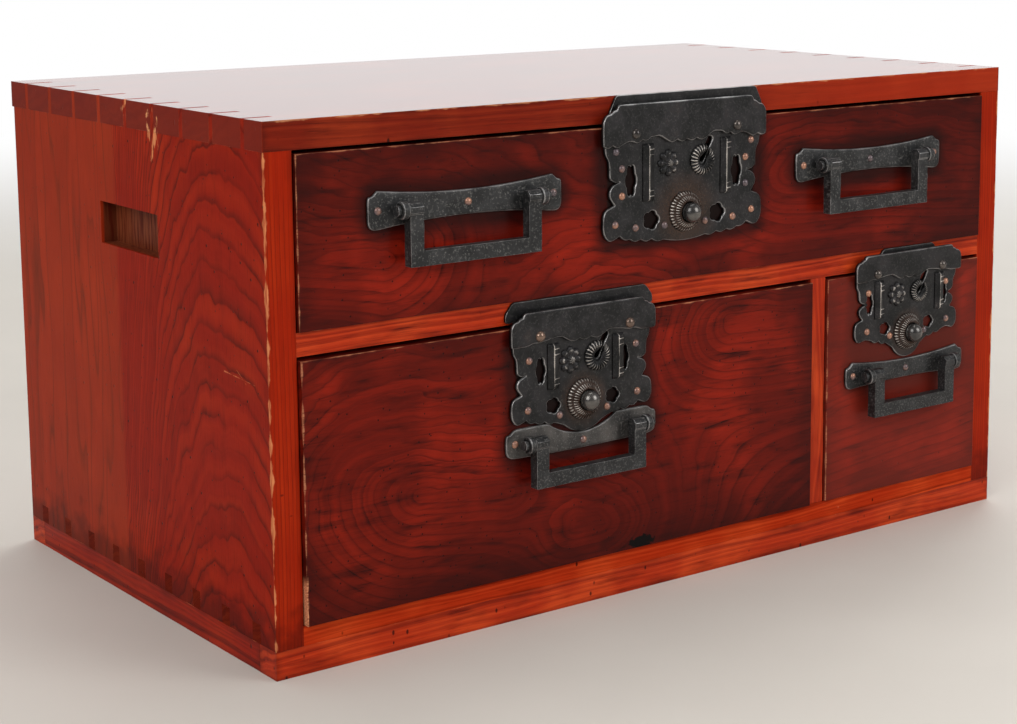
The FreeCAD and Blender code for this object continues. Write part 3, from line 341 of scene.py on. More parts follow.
# %% [markdown]
# Boards are never sharp after a century of hands. Each board here is a copy of its node,
# with its flat faces made whole again and its edges rounded, then rubbed down a little unevenly.
# The middle of every rounded edge is marked, so that a finish can show bare wood or bright iron there.

# %% Softened copies of the nodes
WELD = 1e-6
FLAT_ANGLE = math.radians(0.5)
SHARP_ANGLE = math.radians(28)
BEVEL = {"segments": 2, "profile": 0.6, "affect": "EDGES", "clamp_overlap": True}
BROAD_HOLLOWS = 60
FINE_HOLLOWS = 190
FACE_WEIGHT = 80


def split_long_edges(edges, pitch):
    """Cuts each edge into lengths near the pitch, without cutting the faces beside it."""
    for edge in list(edges):
        start, end = edge.verts
        for left in range(int(edge.calc_length() / pitch), 0, -1):
            _, start = bmesh.utils.edge_split(edge, start, 1 / (left + 1))
            edge = next(piece for piece in start.link_edges if end in piece.verts)


def sharp_edges(work):
    """The edges where two faces meet at a clear angle."""
    return [edge for edge in work.edges if edge.is_manifold and edge.calc_face_angle() > SHARP_ANGLE]


def softened(node, width, rub=0.0, pitch=None, trim=None):
    """A node's mesh with rounded and rubbed edges, in metres; trim may change its faces first."""
    work = bmesh.new()
    work.from_mesh(nodes[node].data)
    mark = work.verts.layers.float.new("wear")
    bmesh.ops.remove_doubles(work, verts=work.verts, dist=WELD)
    if trim:
        trim(work)
    bmesh.ops.dissolve_limit(work, angle_limit=FLAT_ANGLE, verts=work.verts, edges=work.edges)
    if pitch:
        split_long_edges(sharp_edges(work), pitch * MM)
    done = bmesh.ops.bevel(work, geom=sharp_edges(work), offset=width * MM, **BEVEL)
    rounded = set(done["faces"])
    work.normal_update()
    for corner in work.verts:
        if corner.link_faces and all(face in rounded for face in corner.link_faces):
            corner[mark] = 1.0
            hollow = noise.noise(corner.co * BROAD_HOLLOWS) + noise.noise(corner.co * FINE_HOLLOWS) / 2
            corner.co -= corner.normal * (rub * MM * max(0.0, hollow))
    return work


def finished(node, work, finish, extra=""):
    """Turns worked faces into the piece that stands for a node, or into an extra piece beside it."""
    mesh = bpy.data.meshes.new(f"{node}_{extra or 'finished'}")
    work.to_mesh(mesh)
    work.free()
    mesh.shade_smooth()
    mesh.materials.append(finish.material)
    piece = bpy.data.objects.new(mesh.name, mesh)
    scene.collection.objects.link(piece)
    even = piece.modifiers.new("even_shading", "WEIGHTED_NORMAL")
    even.weight = FACE_WEIGHT
    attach(piece, *body_of(nodes[node]))
    if not extra:
        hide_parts(node)
    return piece


print("edges are rounded where they turn more than", round(math.degrees(SHARP_ANGLE)), "degrees")

# %% [markdown]
# Old boards are grimy along their edges and dented all over; round their iron they are darker, from dirt
# and from painted shade.
# A mask could be painted for each board. Measuring how far a point is from an edge or a mount is less work,
# and it still fits when a board changes its size.

# %% Distances and dents on a board
DENT_DRAWN = 1.7
LARGE_DENT = (11.0, 0.1)
LARGE_DENTED = 0.65
SMALL_DENT = (5.0, 0.14)
SMALL_DENTED = 0.5
TUCK = 7.0


def edge_distance(finish, box):
    """How far a point on a board is from the board's nearest edge."""
    near = []
    for axis, low, high in zip(finish.axes, *box):
        near.append((high - low) / 2 - abs(axis - (low + high) / 2))
    one, two, three = near
    return one.least(two).most(one.most(two).least(three))


def halo(finish, box):
    """How far a point on a front is from a box that is tucked in under an iron mount."""
    x, _, z = finish.axes
    low, high = box
    beside = (abs(x - (low[0] + high[0]) / 2) - (high[0] - low[0]) / 2 + TUCK).most(0.0)
    above = (abs(z - (low[2] + high[2]) / 2) - (high[2] - low[2]) / 2 + TUCK).most(0.0)
    return (beside * beside + above * above) ** 0.5


def drawn_out(axis, times):
    """Clouds that are drawn out along one axis."""
    return [times if number == axis else 1.0 for number in range(3)]


def dents_on(finish, box, dented):
    """Large and small dents, scattered over a board's faces."""
    thin = min(range(3), key=lambda axis: box[1][axis] - box[0][axis])
    flat = drawn_out(thin, DENT_DRAWN)
    large = finish.specks(*LARGE_DENT, LARGE_DENTED * dented, drawn=flat)
    return large.most(finish.specks(*SMALL_DENT, SMALL_DENTED * dented, shift=4.4, drawn=flat))


print("distances and dents ready")

# %% [markdown]
# Lacquered wood is thin coloured lacquer over strong grain, and a growth ring is a dark line in it.
# Rings could be drawn on each face, but here they are surfaces in space that the faces of a board cut,
# so a face and its edge agree. No two rings are alike, because a second noise runs along their count.
# On top come fibres, darker clouds, dirt along edges, dirt and painted shade round and under iron, dents,
# and bare worn edges, which on the drawer fronts are partly a painted highlight.

# %% Lacquered wood
RING_SHADE = ((0.0, 1.0), (0.06, 0.75), (0.2, 0.22), (0.6, 0.0), (0.94, 0.12), (1.0, 0.9))
GRAIN_DRAWN = 18.0
STREAK_DRAWN = 5.0
RING_START = 100.0
FIBRE_SIZE = 0.7
STREAK_SIZE = 7.0
PATCH_SIZE = 55.0
RUB_SIZE = 11.0
# A dark colour for dirt that is also laid round the iron as painted shade, and a near-black for dents, a
# burnt chip and dirt under the iron that also stands for painted shade in cuts and in the hand holds.
GRIME_AND_SHADE = paint(30, 9, 7)
SOOT_AND_SHADE = paint(14, 9, 8)


def lacquer(name, along, rings, tones, box, lines=0.3, bands=0.5, glow=0.4, streaks=0.15, margin=9.0,
            mounts=(), pierced=(), stain=None, marks=None, worn=0.0, dented=1.0, coat=0.05, gloss=0.06):
    """A lacquered board; along is the axis of its grain and rings counts its growth rings.

    Lines, bands, glow and streaks say how strongly each part of the grain shows. Margin is how far dirt
    reaches in from the edges, and mounts and pierced are boxes of iron that the board lies under:
    round mounts the board is darkened by dirt and painted shade, and under pierced iron it is painted
    nearly black, for dirt and for the shade seen through the cuts.
    """
    finish = Finish(name)
    deep, body, bright, bare = tones
    fibre = finish.cloud(FIBRE_SIZE, drawn_out(along, GRAIN_DRAWN), detail=3.0)
    streak = finish.cloud(STREAK_SIZE, drawn_out(along, STREAK_DRAWN), detail=3.0, shift=3.1)
    patch = finish.cloud(PATCH_SIZE, detail=3.0, shift=7.7)
    count = rings(finish)
    band = finish.node("TexNoise", {"noise_dimensions": "1D"}, {"W": count, "Scale": 1.0, "Detail": 3.0})
    ring = finish.node("ValToRGB", {"stops": RING_SHADE}, {"Fac": count.fraction()})
    dark = ring * lines * patch.step(0.22, 0.6) + band.step(0.44, 0.76) * bands
    dark = dark + streak.step(0.48, 0.74) * streaks
    light = (1 - band).step(0.45, 0.7) * glow + patch.step(0.42, 0.66) * 0.6
    colour = finish.blend(body, bright, light)
    colour = finish.blend(colour, deep, dark + fibre.step(0.5, 0.8) * 0.35)
    edge = edge_distance(finish, box)
    darkening = (edge + patch * 20.0).step(margin + 8.0, 5.0) * 0.55
    dents = dents_on(finish, box, dented)
    soot_and_shade = dents * 0.8
    # Round the mounts the wood is darkened by dirt and by painted shade; under pierced iron it is painted
    # nearly black, for dirt and for the shade in the cuts.
    for mount in mounts:
        darkening = darkening.most((halo(finish, mount) + patch * 8.0).step(TUCK + 15.0, TUCK + 3.0) * 0.82)
    for mount in pierced:
        soot_and_shade = soot_and_shade.most(halo(finish, mount).step(3.0, 1.0) * 0.9)
    colour = finish.blend(finish.blend(colour, GRIME_AND_SHADE, darkening), SOOT_AND_SHADE, soot_and_shade)
    if stain:
        colour = stain(finish, colour)
    rub = finish.cloud(RUB_SIZE, detail=5.0, shift=5.3)
    rim = finish.node("Attribute", {"attribute_name": "wear"}, output="Fac")
    # Bare wood on worn edges and marks; on the drawer fronts the pale left and upper edges are partly a
    # painted highlight.
    bare_and_lit = (rim * (1 + worn) + (rub - 0.5) * 3.4).step(0.9, 1.35) * 0.75
    if marks:
        bare_and_lit = bare_and_lit.most(marks(finish, rub))
    colour = finish.blend(colour, finish.blend(bare, body, fibre.step(0.42, 0.66) * 0.7), bare_and_lit)
    finish.set("Base Color", colour)
    finish.set("Roughness", 0.32 + 0.16 * fibre + 0.24 * bare_and_lit)
    polish = coat(finish) if callable(coat) else coat
    finish.set("Coat Weight", polish * (1 - bare_and_lit) if polish else 0.0)
    finish.set("Coat Roughness", 0.16)
    finish.set("Specular IOR Level", gloss)
    finish.bump(fibre * 0.3 - dark * 0.25 - dents * 1.2 - bare_and_lit * 0.8, 0.35, 0.3)
    return finish


print("lacquer ready")

# %% [markdown]
# Straight grain runs along rails, stiles and edges. A ring there is a flat layer with a slow wave in it.
# The wave comes from noise drawn out along the board, as the trunk itself was never quite straight.

# %% Straight grain
LAYER_SLANT = 0.35
LAYER_WAVE = 4.0


def straight(along, spacing):
    """Rings for a board whose layers lie along one axis."""

    def rings(finish):
        one, two = [axis for number, axis in enumerate(finish.axes) if number != along]
        sway = finish.cloud(20.0, drawn_out(along, 8.0), shift=11.0)
        return (two + one * LAYER_SLANT + sway * (LAYER_WAVE * spacing)) / spacing + RING_START

    return rings


X, Y, Z = range(3)
RAIL_TONES = (paint(92, 18, 7), paint(178, 48, 18), paint(208, 76, 32), paint(228, 156, 108))
SIDE_TONES = (paint(60, 8, 3), paint(143, 25, 5), paint(166, 41, 10), paint(220, 138, 90))
TOP_TONES = (paint(64, 12, 6), paint(124, 31, 13), paint(150, 50, 22), paint(226, 156, 108))
DRAWER_TONES = (paint(34, 7, 6), paint(106, 20, 9), paint(158, 35, 16), paint(210, 140, 102))
print("four sets of tones")

# %% [markdown]
# The side is glued up from two boards. The front one was sawn near the outside of the log,
# so its rings show as nested arches; the rear one has plain upright grain.
# An arch is where the saw met a ring that bulges toward it, so the count is a bulge with a slow taper.

# %% Arched grain of the sides
GLUE_LINE = 25.0
ARCH_MIDDLE = -104.0
RING_WIDTH = 4.0
TAPER = 0.24
BULGE = 0.0022
BULGE_OUTER = 2.0e-7
ARCH_WANDER = 18.0
ARCH_SWELL = 10.0
REAR_SLOPE = 0.25
REAR_SWAY = 26.0
STILE_DEPTH = 1.0
STILE_SLOPE = 1.8
STILE_SWAY = 16.0


def arched(finish):
    """Rings of a side: arches on its front board and upright grain on its rear board."""
    x, y, z = finish.axes
    sway = finish.cloud(36.0, (1, 1, 3.0), detail=3.0, shift=2.0)
    away = y - ARCH_MIDDLE + (sway - 0.5) * ARCH_WANDER
    square = away * away
    bulge = square * BULGE + square * square * BULGE_OUTER
    front = abs(x) + bulge + z * TAPER + (sway - 0.5) * ARCH_SWELL
    upright = finish.cloud(30.0, (1, 1, 9.0), shift=8.0)
    rear = y * REAR_SLOPE + upright * REAR_SWAY + abs(x)
    stile = abs(x) * STILE_SLOPE + upright * STILE_SWAY
    count = front + (rear - front) * (y > GLUE_LINE)
    count = count + (stile - count) * (y < box_of("left_side_board")[0][1] + STILE_DEPTH)
    return count / RING_WIDTH + RING_START


print("arches centred", ARCH_MIDDLE, "mm from the middle")

# %% [markdown]
# Hands and doorways have rubbed the front corner of each side bare, and things once scraped the left one.
# Such marks are distances too: from a corner line, a spot or a stroke, broken up by noise.

# %% Marks on the sides
FACE_OUT = 279.0
SCRAPES = (((-27.0, 284.0), (7.0, 17.0)), ((5.0, 294.0), (6.0, 6.0)))
SCRATCHES = (
    ((-104.0, 161.0), (-138.0, 159.0)),
    ((-118.0, 164.0), (-128.0, 158.0)),
    ((-20.0, 60.0), (-22.0, 86.0)),
)
SCRATCH_HALF = 0.35
FINE_LINE = 0.41
SIDE_REACH = 7.0
TOP_REACH = 5.0


def rubbed(finish, rub, axis, outer, front, reach):
    """Bare wood along a front edge, where one axis ends at the outer face of a board."""
    off = abs(finish.axes[axis] - outer).most(abs(finish.axes[Y] - front))
    return (off - (rub - FINE_LINE) * reach).step(0.4, -0.5) * 0.85


def scraped(finish):
    """Flaky scrapes on the left side and on the end of the top board above it."""
    x, y, z = finish.axes
    flake = finish.cloud(4.5, (1, 1, 2.4), detail=4.0, shift=9.0)
    bare = None
    for (spot_y, spot_z), (reach_y, reach_z) in SCRAPES:
        off = (y - spot_y) / reach_y
        down = (z - spot_z) / reach_z
        mark = (flake - (off * off + down * down) * 0.15).step(0.43, 0.51)
        bare = mark if bare is None else bare.most(mark)
    return bare * (x < -FACE_OUT)


def left_marks(finish, rub):
    """A rubbed front corner, scrapes, and scratches that run from one y and z to another."""
    low, _ = box_of("left_side_board")
    x, y, z = finish.axes
    bare = rubbed(finish, rub, X, low[0], low[1], SIDE_REACH).most(scraped(finish))
    for (start_y, start_z), (end_y, end_z) in SCRATCHES:
        along = ((y - start_y) / (end_y - start_y)).most(0.0).least(1.0)
        beside = abs(y - start_y - along * (end_y - start_y))
        off = beside.most(abs(z - start_z - along * (end_z - start_z)))
        bare = bare.most((off + (rub - 0.5) * 2.0).step(SCRATCH_HALF, 0.0) * (x < -FACE_OUT) * 0.6)
    return bare


def top_marks(finish, rub):
    """A rubbed upper edge along the front, and the scrape at the left end."""
    low, high = box_of("top_board")
    return scraped(finish).most(rubbed(finish, rub, Z, high[2], low[1], TOP_REACH) * 0.7)


def right_marks(finish, rub):
    """A rubbed front corner."""
    low, high = box_of("right_side_board")
    return rubbed(finish, rub, X, high[0], low[1], SIDE_REACH)


print("marks ready")

# %% [markdown]
# A hand hold is cut into each side. Its corners are square, and its hollow was left brown inside, with
# painted shade on its rear wall.
# The frame clips those corners. They could be cut again, but it is simpler to draw the points out.
# The rear board of each side is a little paler, and its foot is grimy.

# %% Hand holds
HOLD_MIDDLE = (8.25, 225.0)
HOLD_HALF = (37.5, 12.5)
HOLD_BROWN = paint(112, 64, 40)
HOLD_SHADE = paint(62, 28, 18)
HOLD_SLACK = 0.5
HOLD_SKIN = 0.2
REAR_TONE = paint(166, 66, 32)
STILE_TONE = paint(190, 52, 18)
SMUDGE_SIZE = 14.0
SMUDGE_REACH = 60.0
GRIMY_FOOT = (28.0, 2.0)


def square_hold(work):
    """Draws the clipped corners of a hand hold out to square ones."""
    for point in work.verts:
        off = [point.co[axis] / MM - middle for axis, middle in zip((Y, Z), HOLD_MIDDLE)]
        if all(abs(part) < half + HOLD_SLACK for part, half in zip(off, HOLD_HALF)):
            for axis, part, middle, half in zip((Y, Z), off, HOLD_MIDDLE, HOLD_HALF):
                point.co[axis] = (middle + math.copysign(half, part)) * MM
    bmesh.ops.remove_doubles(work, verts=work.verts, dist=WELD)
    bmesh.ops.dissolve_degenerate(work, edges=work.edges, dist=WELD)


def side_stain(finish, colour):
    """A paler rear board and front edge, a grimy foot, and brown wood in the hollow of the hand hold, with
    painted shade on its rear wall.
    """
    x, y, z = finish.axes
    beside = abs(y - HOLD_MIDDLE[0]) - HOLD_HALF[0]
    above = abs(z - HOLD_MIDDLE[1]) - HOLD_HALF[1]
    inside = HOLD_SKIN - beside.most(above)
    deep = (FACE_OUT - abs(x)).step(0.0, 1.5) * inside.step(-HOLD_SKIN, 0.0)
    _, front, foot = box_of("left_side_board")[0]
    boards = finish.blend(colour, REAR_TONE, y.step(GLUE_LINE - 3, GLUE_LINE + 3) * 0.32)
    boards = finish.blend(boards, STILE_TONE, y.step(front + STILE_DEPTH, front + STILE_DEPTH / 2) * 0.22)
    smudge = finish.cloud(SMUDGE_SIZE, detail=4.0, shift=12.0)
    darkening = (z - foot + (smudge - 0.5) * SMUDGE_REACH).step(*GRIMY_FOOT)
    boards = finish.blend(boards, GRIME_AND_SHADE, darkening * 0.5)
    fibre = finish.cloud(2.0, drawn_out(Z, 12.0), detail=3.0, shift=13.0)
    hollow = finish.blend(HOLD_BROWN, HOLD_SHADE, fibre.step(0.4, 0.65))
    # The rear wall of the hollow is darkened as painted shade.
    hollow = finish.blend(hollow, SOOT_AND_SHADE, (y - HOLD_MIDDLE[0] - HOLD_HALF[0]).step(-1.2, -0.2) * 0.6)
    return finish.blend(boards, hollow, deep * 0.8)


print("hand holds", [2 * half for half in HOLD_HALF], "mm")

# %% [markdown]
# Fingers of the top and the bottom board show in the sides as plain, darker ends.
# The upper face of the top is polished. A polish that is the same from everywhere would mirror the lamps
# from above, so it is full only where the eye meets the board at a low angle.

# %% Ends and the polished top
END_TONE = paint(118, 28, 11)
FOOT_TONE = paint(66, 14, 6)
FRESH_EDGE = (-60.0, 200.0)
LOW_ANGLE = (0.78, 0.9)
PLAIN_SHINE = 0.22


def end_stain(tone):
    """A plain darker tone on the ends of a board that shows in the sides."""

    def stain(finish, colour):
        x, _, _ = finish.axes
        return finish.blend(colour, tone, (abs(x) - FACE_OUT).step(0.0, 0.8) * 0.8)

    return stain


def top_stain(finish, colour):
    """The top board's dark ends, and its front edge, which is brighter toward the right."""
    x, y, _ = finish.axes
    front = box_of("top_board")[0][1]
    fresh = y.step(front + 1.5, front + 0.5) * x.step(*FRESH_EDGE) * 0.45
    return end_stain(END_TONE)(finish, finish.blend(colour, STILE_TONE, fresh))


def top_only(finish):
    """Polish on the upper face of the top board alone, fullest where it is seen at a low angle."""
    _, _, z = finish.axes
    top = box_of("top_board")[1][2]
    low_angle = finish.node("LayerWeight", sockets={"Blend": 0.5}, output="Facing").step(*LOW_ANGLE)
    return z.step(top - 0.5, top - 0.1) * (PLAIN_SHINE + (1 - PLAIN_SHINE) * low_angle)


print("polish is full at a low angle")

# %% [markdown]
# The case is eleven boards: two sides and a top joined with fingers, a bottom, four base rails,
# a middle rail, a partition and a back.
# They could share one finish, but grime and wear depend on where a board ends, so each gets its own.

# %% Boards of the case
BOARD_ROUND = 0.6
BOARD_RUB = 0.5
BOARD_PITCH = 7.0
TOP_COAT_IOR = 2.9
TOP_COAT_ROUGHNESS = 0.14
side_grain = dict(lines=0.72, bands=0.15, margin=4.0, worn=0.15, gloss=0.03, coat=0.03, stain=side_stain)
foot_grain = dict(margin=3.0, gloss=0.01, coat=0.0, stain=end_stain(FOOT_TONE))
rail_grain = dict(streaks=0.5, dented=1.3)
top_grain = dict(streaks=0.3, margin=4.0, worn=0.4, coat=top_only, stain=top_stain, marks=top_marks)
boards = {
    "left_side_board": (Z, arched, SIDE_TONES, dict(marks=left_marks, **side_grain)),
    "right_side_board": (Z, arched, SIDE_TONES, dict(marks=right_marks, **side_grain)),
    "bottom_board": (X, straight(X, 3.4), RAIL_TONES, foot_grain),
    "base_front_rail": (X, straight(X, 3.2), RAIL_TONES, dict(margin=6.0, **rail_grain)),
    "base_back_rail": (X, straight(X, 3.2), RAIL_TONES, dict(margin=6.0, **rail_grain)),
    "base_left_rail": (Y, straight(Y, 3.2), SIDE_TONES, dict(margin=6.0)),
    "base_right_rail": (Y, straight(Y, 3.2), SIDE_TONES, dict(margin=6.0)),
    "middle_rail": (X, straight(X, 3.0), RAIL_TONES, dict(margin=3.0, **rail_grain)),
    "partition_board": (Z, straight(Z, 3.0), RAIL_TONES, dict(margin=2.0, streaks=0.35)),
    "back_board": (X, straight(X, 6.0), SIDE_TONES, dict()),
    "top_board": (X, straight(X, 5.0), TOP_TONES, top_grain),
}
for node, (along, rings, tones, options) in boards.items():
    finish = lacquer(f"{node}_lacquer", along, rings, tones, box_of(node), **options)
    if node == "top_board":
        finish.set("Coat IOR", TOP_COAT_IOR)
        finish.set("Coat Roughness", TOP_COAT_ROUGHNESS)
    trim = square_hold if node.endswith("side_board") else None
    finished(node, softened(node, BOARD_ROUND, BOARD_RUB, BOARD_PITCH, trim), finish)
print(len(boards), "boards of the case")

# %% [markdown]
# Each drawer front carries iron plates. Under the iron the wood is painted black, partly for dirt and
# partly as the shade seen through the cuts, and a dark halo of dirt and painted shade stays round it.
# The halo could be painted by hand, but the plates' own boxes say where it is, so it follows the iron.

# %% Where the iron sits
def span(points):
    """Lowest and highest corner of some points."""
    return [Vector([pick(point[axis] for point in points) for axis in range(3)]) for pick in (min, max)]


def solids_of(node):
    """The separate solids of a node, each a list of points in millimetres."""
    work = bmesh.new()
    work.from_mesh(nodes[node].data)
    bmesh.ops.remove_doubles(work, verts=work.verts, dist=WELD)
    left = set(work.verts)
    found = []
    while left:
        reached = [left.pop()]
        for point in reached:
            fresh = [edge.other_vert(point) for edge in point.link_edges]
            fresh = [other for other in fresh if other in left]
            left.difference_update(fresh)
            reached.extend(fresh)
        found.append([point.co / MM for point in reached])
    work.free()
    return sorted(found, key=lambda points: tuple(span(points)[0]))


def middle_of(node):
    """The middle of a node as seen from the front."""
    low, high = box_of(node)
    return (low[0] + high[0]) / 2, (low[2] + high[2]) / 2


handle_nodes = {
    "upper": "upper_handle_plates",
    "large": "large_handle_plate",
    "small": "small_handle_plate",
}
# How far each pierced box rises and how wide its narrow part is; there the wood is painted nearly black,
# for dirt and for the shade in the cuts.
SOOT_AND_SHADE_RISE = {"upper": 0.0, "large": 5.0, "small": 20.0}
SOOT_AND_SHADE_HALF = 38.0
mounts = {}
pierced = {}
for drawer, handles in handle_nodes.items():
    low, high = span(solids_of(f"{drawer}_lock_plate")[0])
    x, z = middle_of(f"{drawer}_lock_button")
    narrow = (Vector((x - SOOT_AND_SHADE_HALF, low.y, z - TUCK)), Vector((x + SOOT_AND_SHADE_HALF, high.y, high.z)))
    pierced[drawer] = [(low + Vector((0.0, 0.0, SOOT_AND_SHADE_RISE[drawer])), high), narrow]
    mounts[drawer] = [(low, high)] + [span(points) for points in solids_of(handles)]
print({drawer: len(boxes) for drawer, boxes in mounts.items()}, "mounts")

# %% [markdown]
# The fronts are the show pieces, cut from figured wood. Rings close round its knots like contours on a map.
# Distances to the knots are pooled so that the nearest counts most, which gives contours without a seam.
# Noise then bends them until no two are alike.

# %% Figured grain of the drawer fronts
KNOT_BLEND = 3.0
KNOT_HEART = 5.0
KNOT_WIDE = 0.72
SWAY_SIZE = 60.0
SWAY = 26.0


def figured(knots, spacing):
    """Rings that close round knots; a knot runs from one x and z to another."""

    def rings(finish):
        x, _, z = finish.axes
        slow = finish.cloud(SWAY_SIZE, (2.0, 1, 1), detail=1.0, shift=1.3)
        quick = finish.cloud(SWAY_SIZE / 5, (2.6, 1, 1), shift=6.1)
        bend = (slow - 0.5) * SWAY + (quick - 0.5) * (SWAY / 4)
        pull = None
        for (start_x, start_z), (end_x, end_z) in knots:
            along = ((x - start_x) / (end_x - start_x)).least(1.0).most(0.0)
            over = (x - start_x - along * (end_x - start_x)) * KNOT_WIDE
            up = z - start_z - along * (end_z - start_z) + bend
            near = 1 / (over * over + up * up + KNOT_HEART * KNOT_HEART) ** (KNOT_BLEND / 2)
            pull = near if pull is None else pull + near
        return ((1 / pull) ** (1 / KNOT_BLEND) + bend * 0.6) / spacing + RING_START

    return rings


UPPER_KNOTS = (
    ((-330.0, 240.0), (-210.0, 218.0)),
    ((-66.0, 172.0), (-44.0, 166.0)),
    ((90.0, 246.0), (360.0, 228.0)),
)
LARGE_KNOTS = (
    ((-188.0, 84.0), (-130.0, 76.0)),
    ((-80.0, 50.0), (-66.0, 50.0)),
    ((40.0, 150.0), (220.0, 142.0)),
)
SMALL_KNOTS = (((60.0, 66.0), (340.0, 100.0)),)
figures = {
    "upper": figured(UPPER_KNOTS, spacing=5.5),
    "large": figured(LARGE_KNOTS, spacing=5.0),
    "small": figured(SMALL_KNOTS, spacing=6.0),
}
print(len(figures), "figures")

# %% [markdown]
# Each front has its own marks: a darker right end and upper edge, a burnt chip at the foot with pale
# filler, or fading.
# The left and upper edges of every front are pale, partly rubbed bare and partly a painted highlight where
# the rounded edge meets the light, and the inner face was never lacquered.
# Such marks could be drawn as pictures. Here each is a distance or a ramp, so it can be moved by a number.

# %% History of the fronts
DARK_RIGHT = (110.0, 270.0)
DARK_TOP = (222.0, 262.0)
SHADED_FOOT = (95.0, 35.0)
SHADED_RIGHT = (0.0, 130.0)
CHIP = (-32.0, 30.5)
CHIP_REACH = (9.0, 4.0)
FILLER_TOP = 56.0
FILLER_WIDE = 1.1
LEFT_REACH = 4.0
UPPER_REACH = 3.0
INSIDE_WOOD = paint(176, 136, 92)
INSIDE_GRAIN = paint(128, 90, 56)
INSIDE_DRAWN = 22.0
FADED_TONE = paint(132, 50, 38)
FADING = 0.35


def dark_end(finish, colour):
    """Darker toward the right end and the upper edge of the upper front."""
    x, _, z = finish.axes
    return finish.blend(colour, GRIME_AND_SHADE, (x.step(*DARK_RIGHT) * 0.56).most(z.step(*DARK_TOP) * 0.4))


def burnt_chip(finish, colour):
    """A dark chip at the foot of the large front, which darkens toward its foot and its right end."""
    x, _, z = finish.axes
    shade = (z.step(*SHADED_FOOT) * 0.42).most(x.step(*SHADED_RIGHT) * 0.26)
    colour = finish.blend(colour, GRIME_AND_SHADE, shade)
    off = (x - CHIP[0]) / CHIP_REACH[0]
    up = (z - CHIP[1]) / CHIP_REACH[1]
    ragged = finish.cloud(3.0, detail=3.0, shift=4.0)
    return finish.blend(colour, SOOT_AND_SHADE, (off * off + up * up + (ragged - 0.5) * 4.0).step(1.2, 0.7))


def faded(finish, colour):
    """The small front has faded a little."""
    return finish.blend(colour, FADED_TONE, FADING)


def front_wear_and_highlight(node):
    """Left and upper edges rubbed pale, partly wear and partly a painted highlight, and the pale filler of
    the large front.
    """
    low, high = box_of(node)

    def marks(finish, rub):
        x, _, z = finish.axes
        # The pale left and upper edges are partly wear and partly a painted highlight.
        left = rubbed(finish, rub, X, low[0], low[1], LEFT_REACH)
        upper = rubbed(finish, rub, Z, high[2], low[1], UPPER_REACH)
        bare = left.most(upper) * 0.75
        if node.startswith("large"):
            filler = (x - low[0] + (rub - 0.5) * 3.0).step(FILLER_WIDE, FILLER_WIDE / 2)
            bare = bare.most(filler * z.step(FILLER_TOP, FILLER_TOP - 8.0))
        return bare

    return marks


def bare_inside(node, stain):
    """A front's own stain, with its inner face left as plain wood."""
    inner = box_of(node)[1][1]

    def both(finish, colour):
        _, y, _ = finish.axes
        fibre = finish.cloud(2.4, drawn_out(X, INSIDE_DRAWN), detail=4.0, shift=14.0)
        plain = finish.blend(INSIDE_WOOD, INSIDE_GRAIN, fibre.step(0.4, 0.7))
        return finish.blend(stain(finish, colour), plain, y.step(inner - 1.5, inner - 0.5))

    return both


stains = {"upper": dark_end, "large": burnt_chip, "small": faded}
print(len(stains), "histories")

# %% [markdown]
# Now the three fronts are put together from their figure, their iron and their history.
# Grime reaches far in from their edges, because a drawer is wiped in the middle and not in its corners.

# %% Drawer fronts
FRONT_ROUND = 0.8
figured_grain = dict(lines=0.46, bands=0.22, glow=0.2, streaks=0.5, margin=23.0, worn=0.35, dented=0.6)
for drawer, rings in figures.items():
    node = f"{drawer}_drawer_front"
    own = dict(mounts=mounts[drawer], pierced=pierced[drawer], marks=front_wear_and_highlight(node), **figured_grain)
    stain = bare_inside(node, stains[drawer])
    finish = lacquer(f"{drawer}_front_lacquer", X, rings, DRAWER_TONES, box_of(node), stain=stain, **own)
    finished(node, softened(node, FRONT_ROUND, BOARD_RUB, BOARD_PITCH), finish)
print(len(figures), "drawer fronts")

# %% [markdown]
# Inside, nobody lacquered anything. Drawer boxes and the shelf are plain softwood gone brown with age,
# with a duller surface and softer rings. Pegs are short square pins that show their end grain.

# %% Plain wood inside
PLAIN_TONES = (paint(96, 58, 32), paint(150, 104, 64), paint(178, 132, 86), paint(196, 158, 112))
plain_grain = dict(lines=0.4, bands=0.6, margin=8.0, coat=0.0, gloss=0.2)


def plain_wood(name, along, box, spacing=4.5):
    """Wood without lacquer, with its grain along an axis."""
    return lacquer(name, along, straight(along, spacing), PLAIN_TONES, box, **plain_grain)


INNER_ROUND = 0.5
INNER_RUB = 0.2
INNER_PITCH = 14.0
PEG_ROUND = 0.25
PEG_SPACING = 1.2
inner = {"middle_shelf": X}
for drawer in figures:
    inner[f"{drawer}_drawer_left_side"] = Y
    inner[f"{drawer}_drawer_right_side"] = Y
    inner[f"{drawer}_drawer_back"] = X
    inner[f"{drawer}_drawer_bottom"] = X
for node, along in inner.items():
    work = softened(node, INNER_ROUND, INNER_RUB, INNER_PITCH)
    finished(node, work, plain_wood(f"{node}_plain", along, box_of(node)))
peg_nodes = ["case_pegs"] + [f"{drawer}_drawer_pegs" for drawer in figures]
for node in peg_nodes:
    finished(node, softened(node, PEG_ROUND), plain_wood(f"{node}_end_grain", Y, box_of(node), PEG_SPACING))
print(len(inner), "inner boards,", len(peg_nodes), "sets of pegs")

# %% [markdown]
# Forged iron was blackened over a fire with oil or lacquer. It is nearly black, uneven and pitted by rust.
# Where cloth and fingers pass, on rims and ridges, the black is gone and grey metal shows; on the ridges of
# the guide bars this is partly a painted highlight.
# Round the button and the keyhole, damp fingers have left a brown bloom of rust.

# %% Blackened iron
BLACK_IRON = paint(13, 13, 14)
GREY_IRON = paint(38, 36, 38)
PIT_GREY = paint(124, 122, 118)
RIM_GREY = paint(168, 166, 165)
# A pale grey for worn ribs, petals and ridges of the trim, which on the ridges of the guide bars is partly
# a painted highlight.
TRIM_WEAR_AND_HIGHLIGHT = paint(214, 206, 198)
RUST = paint(76, 50, 33)


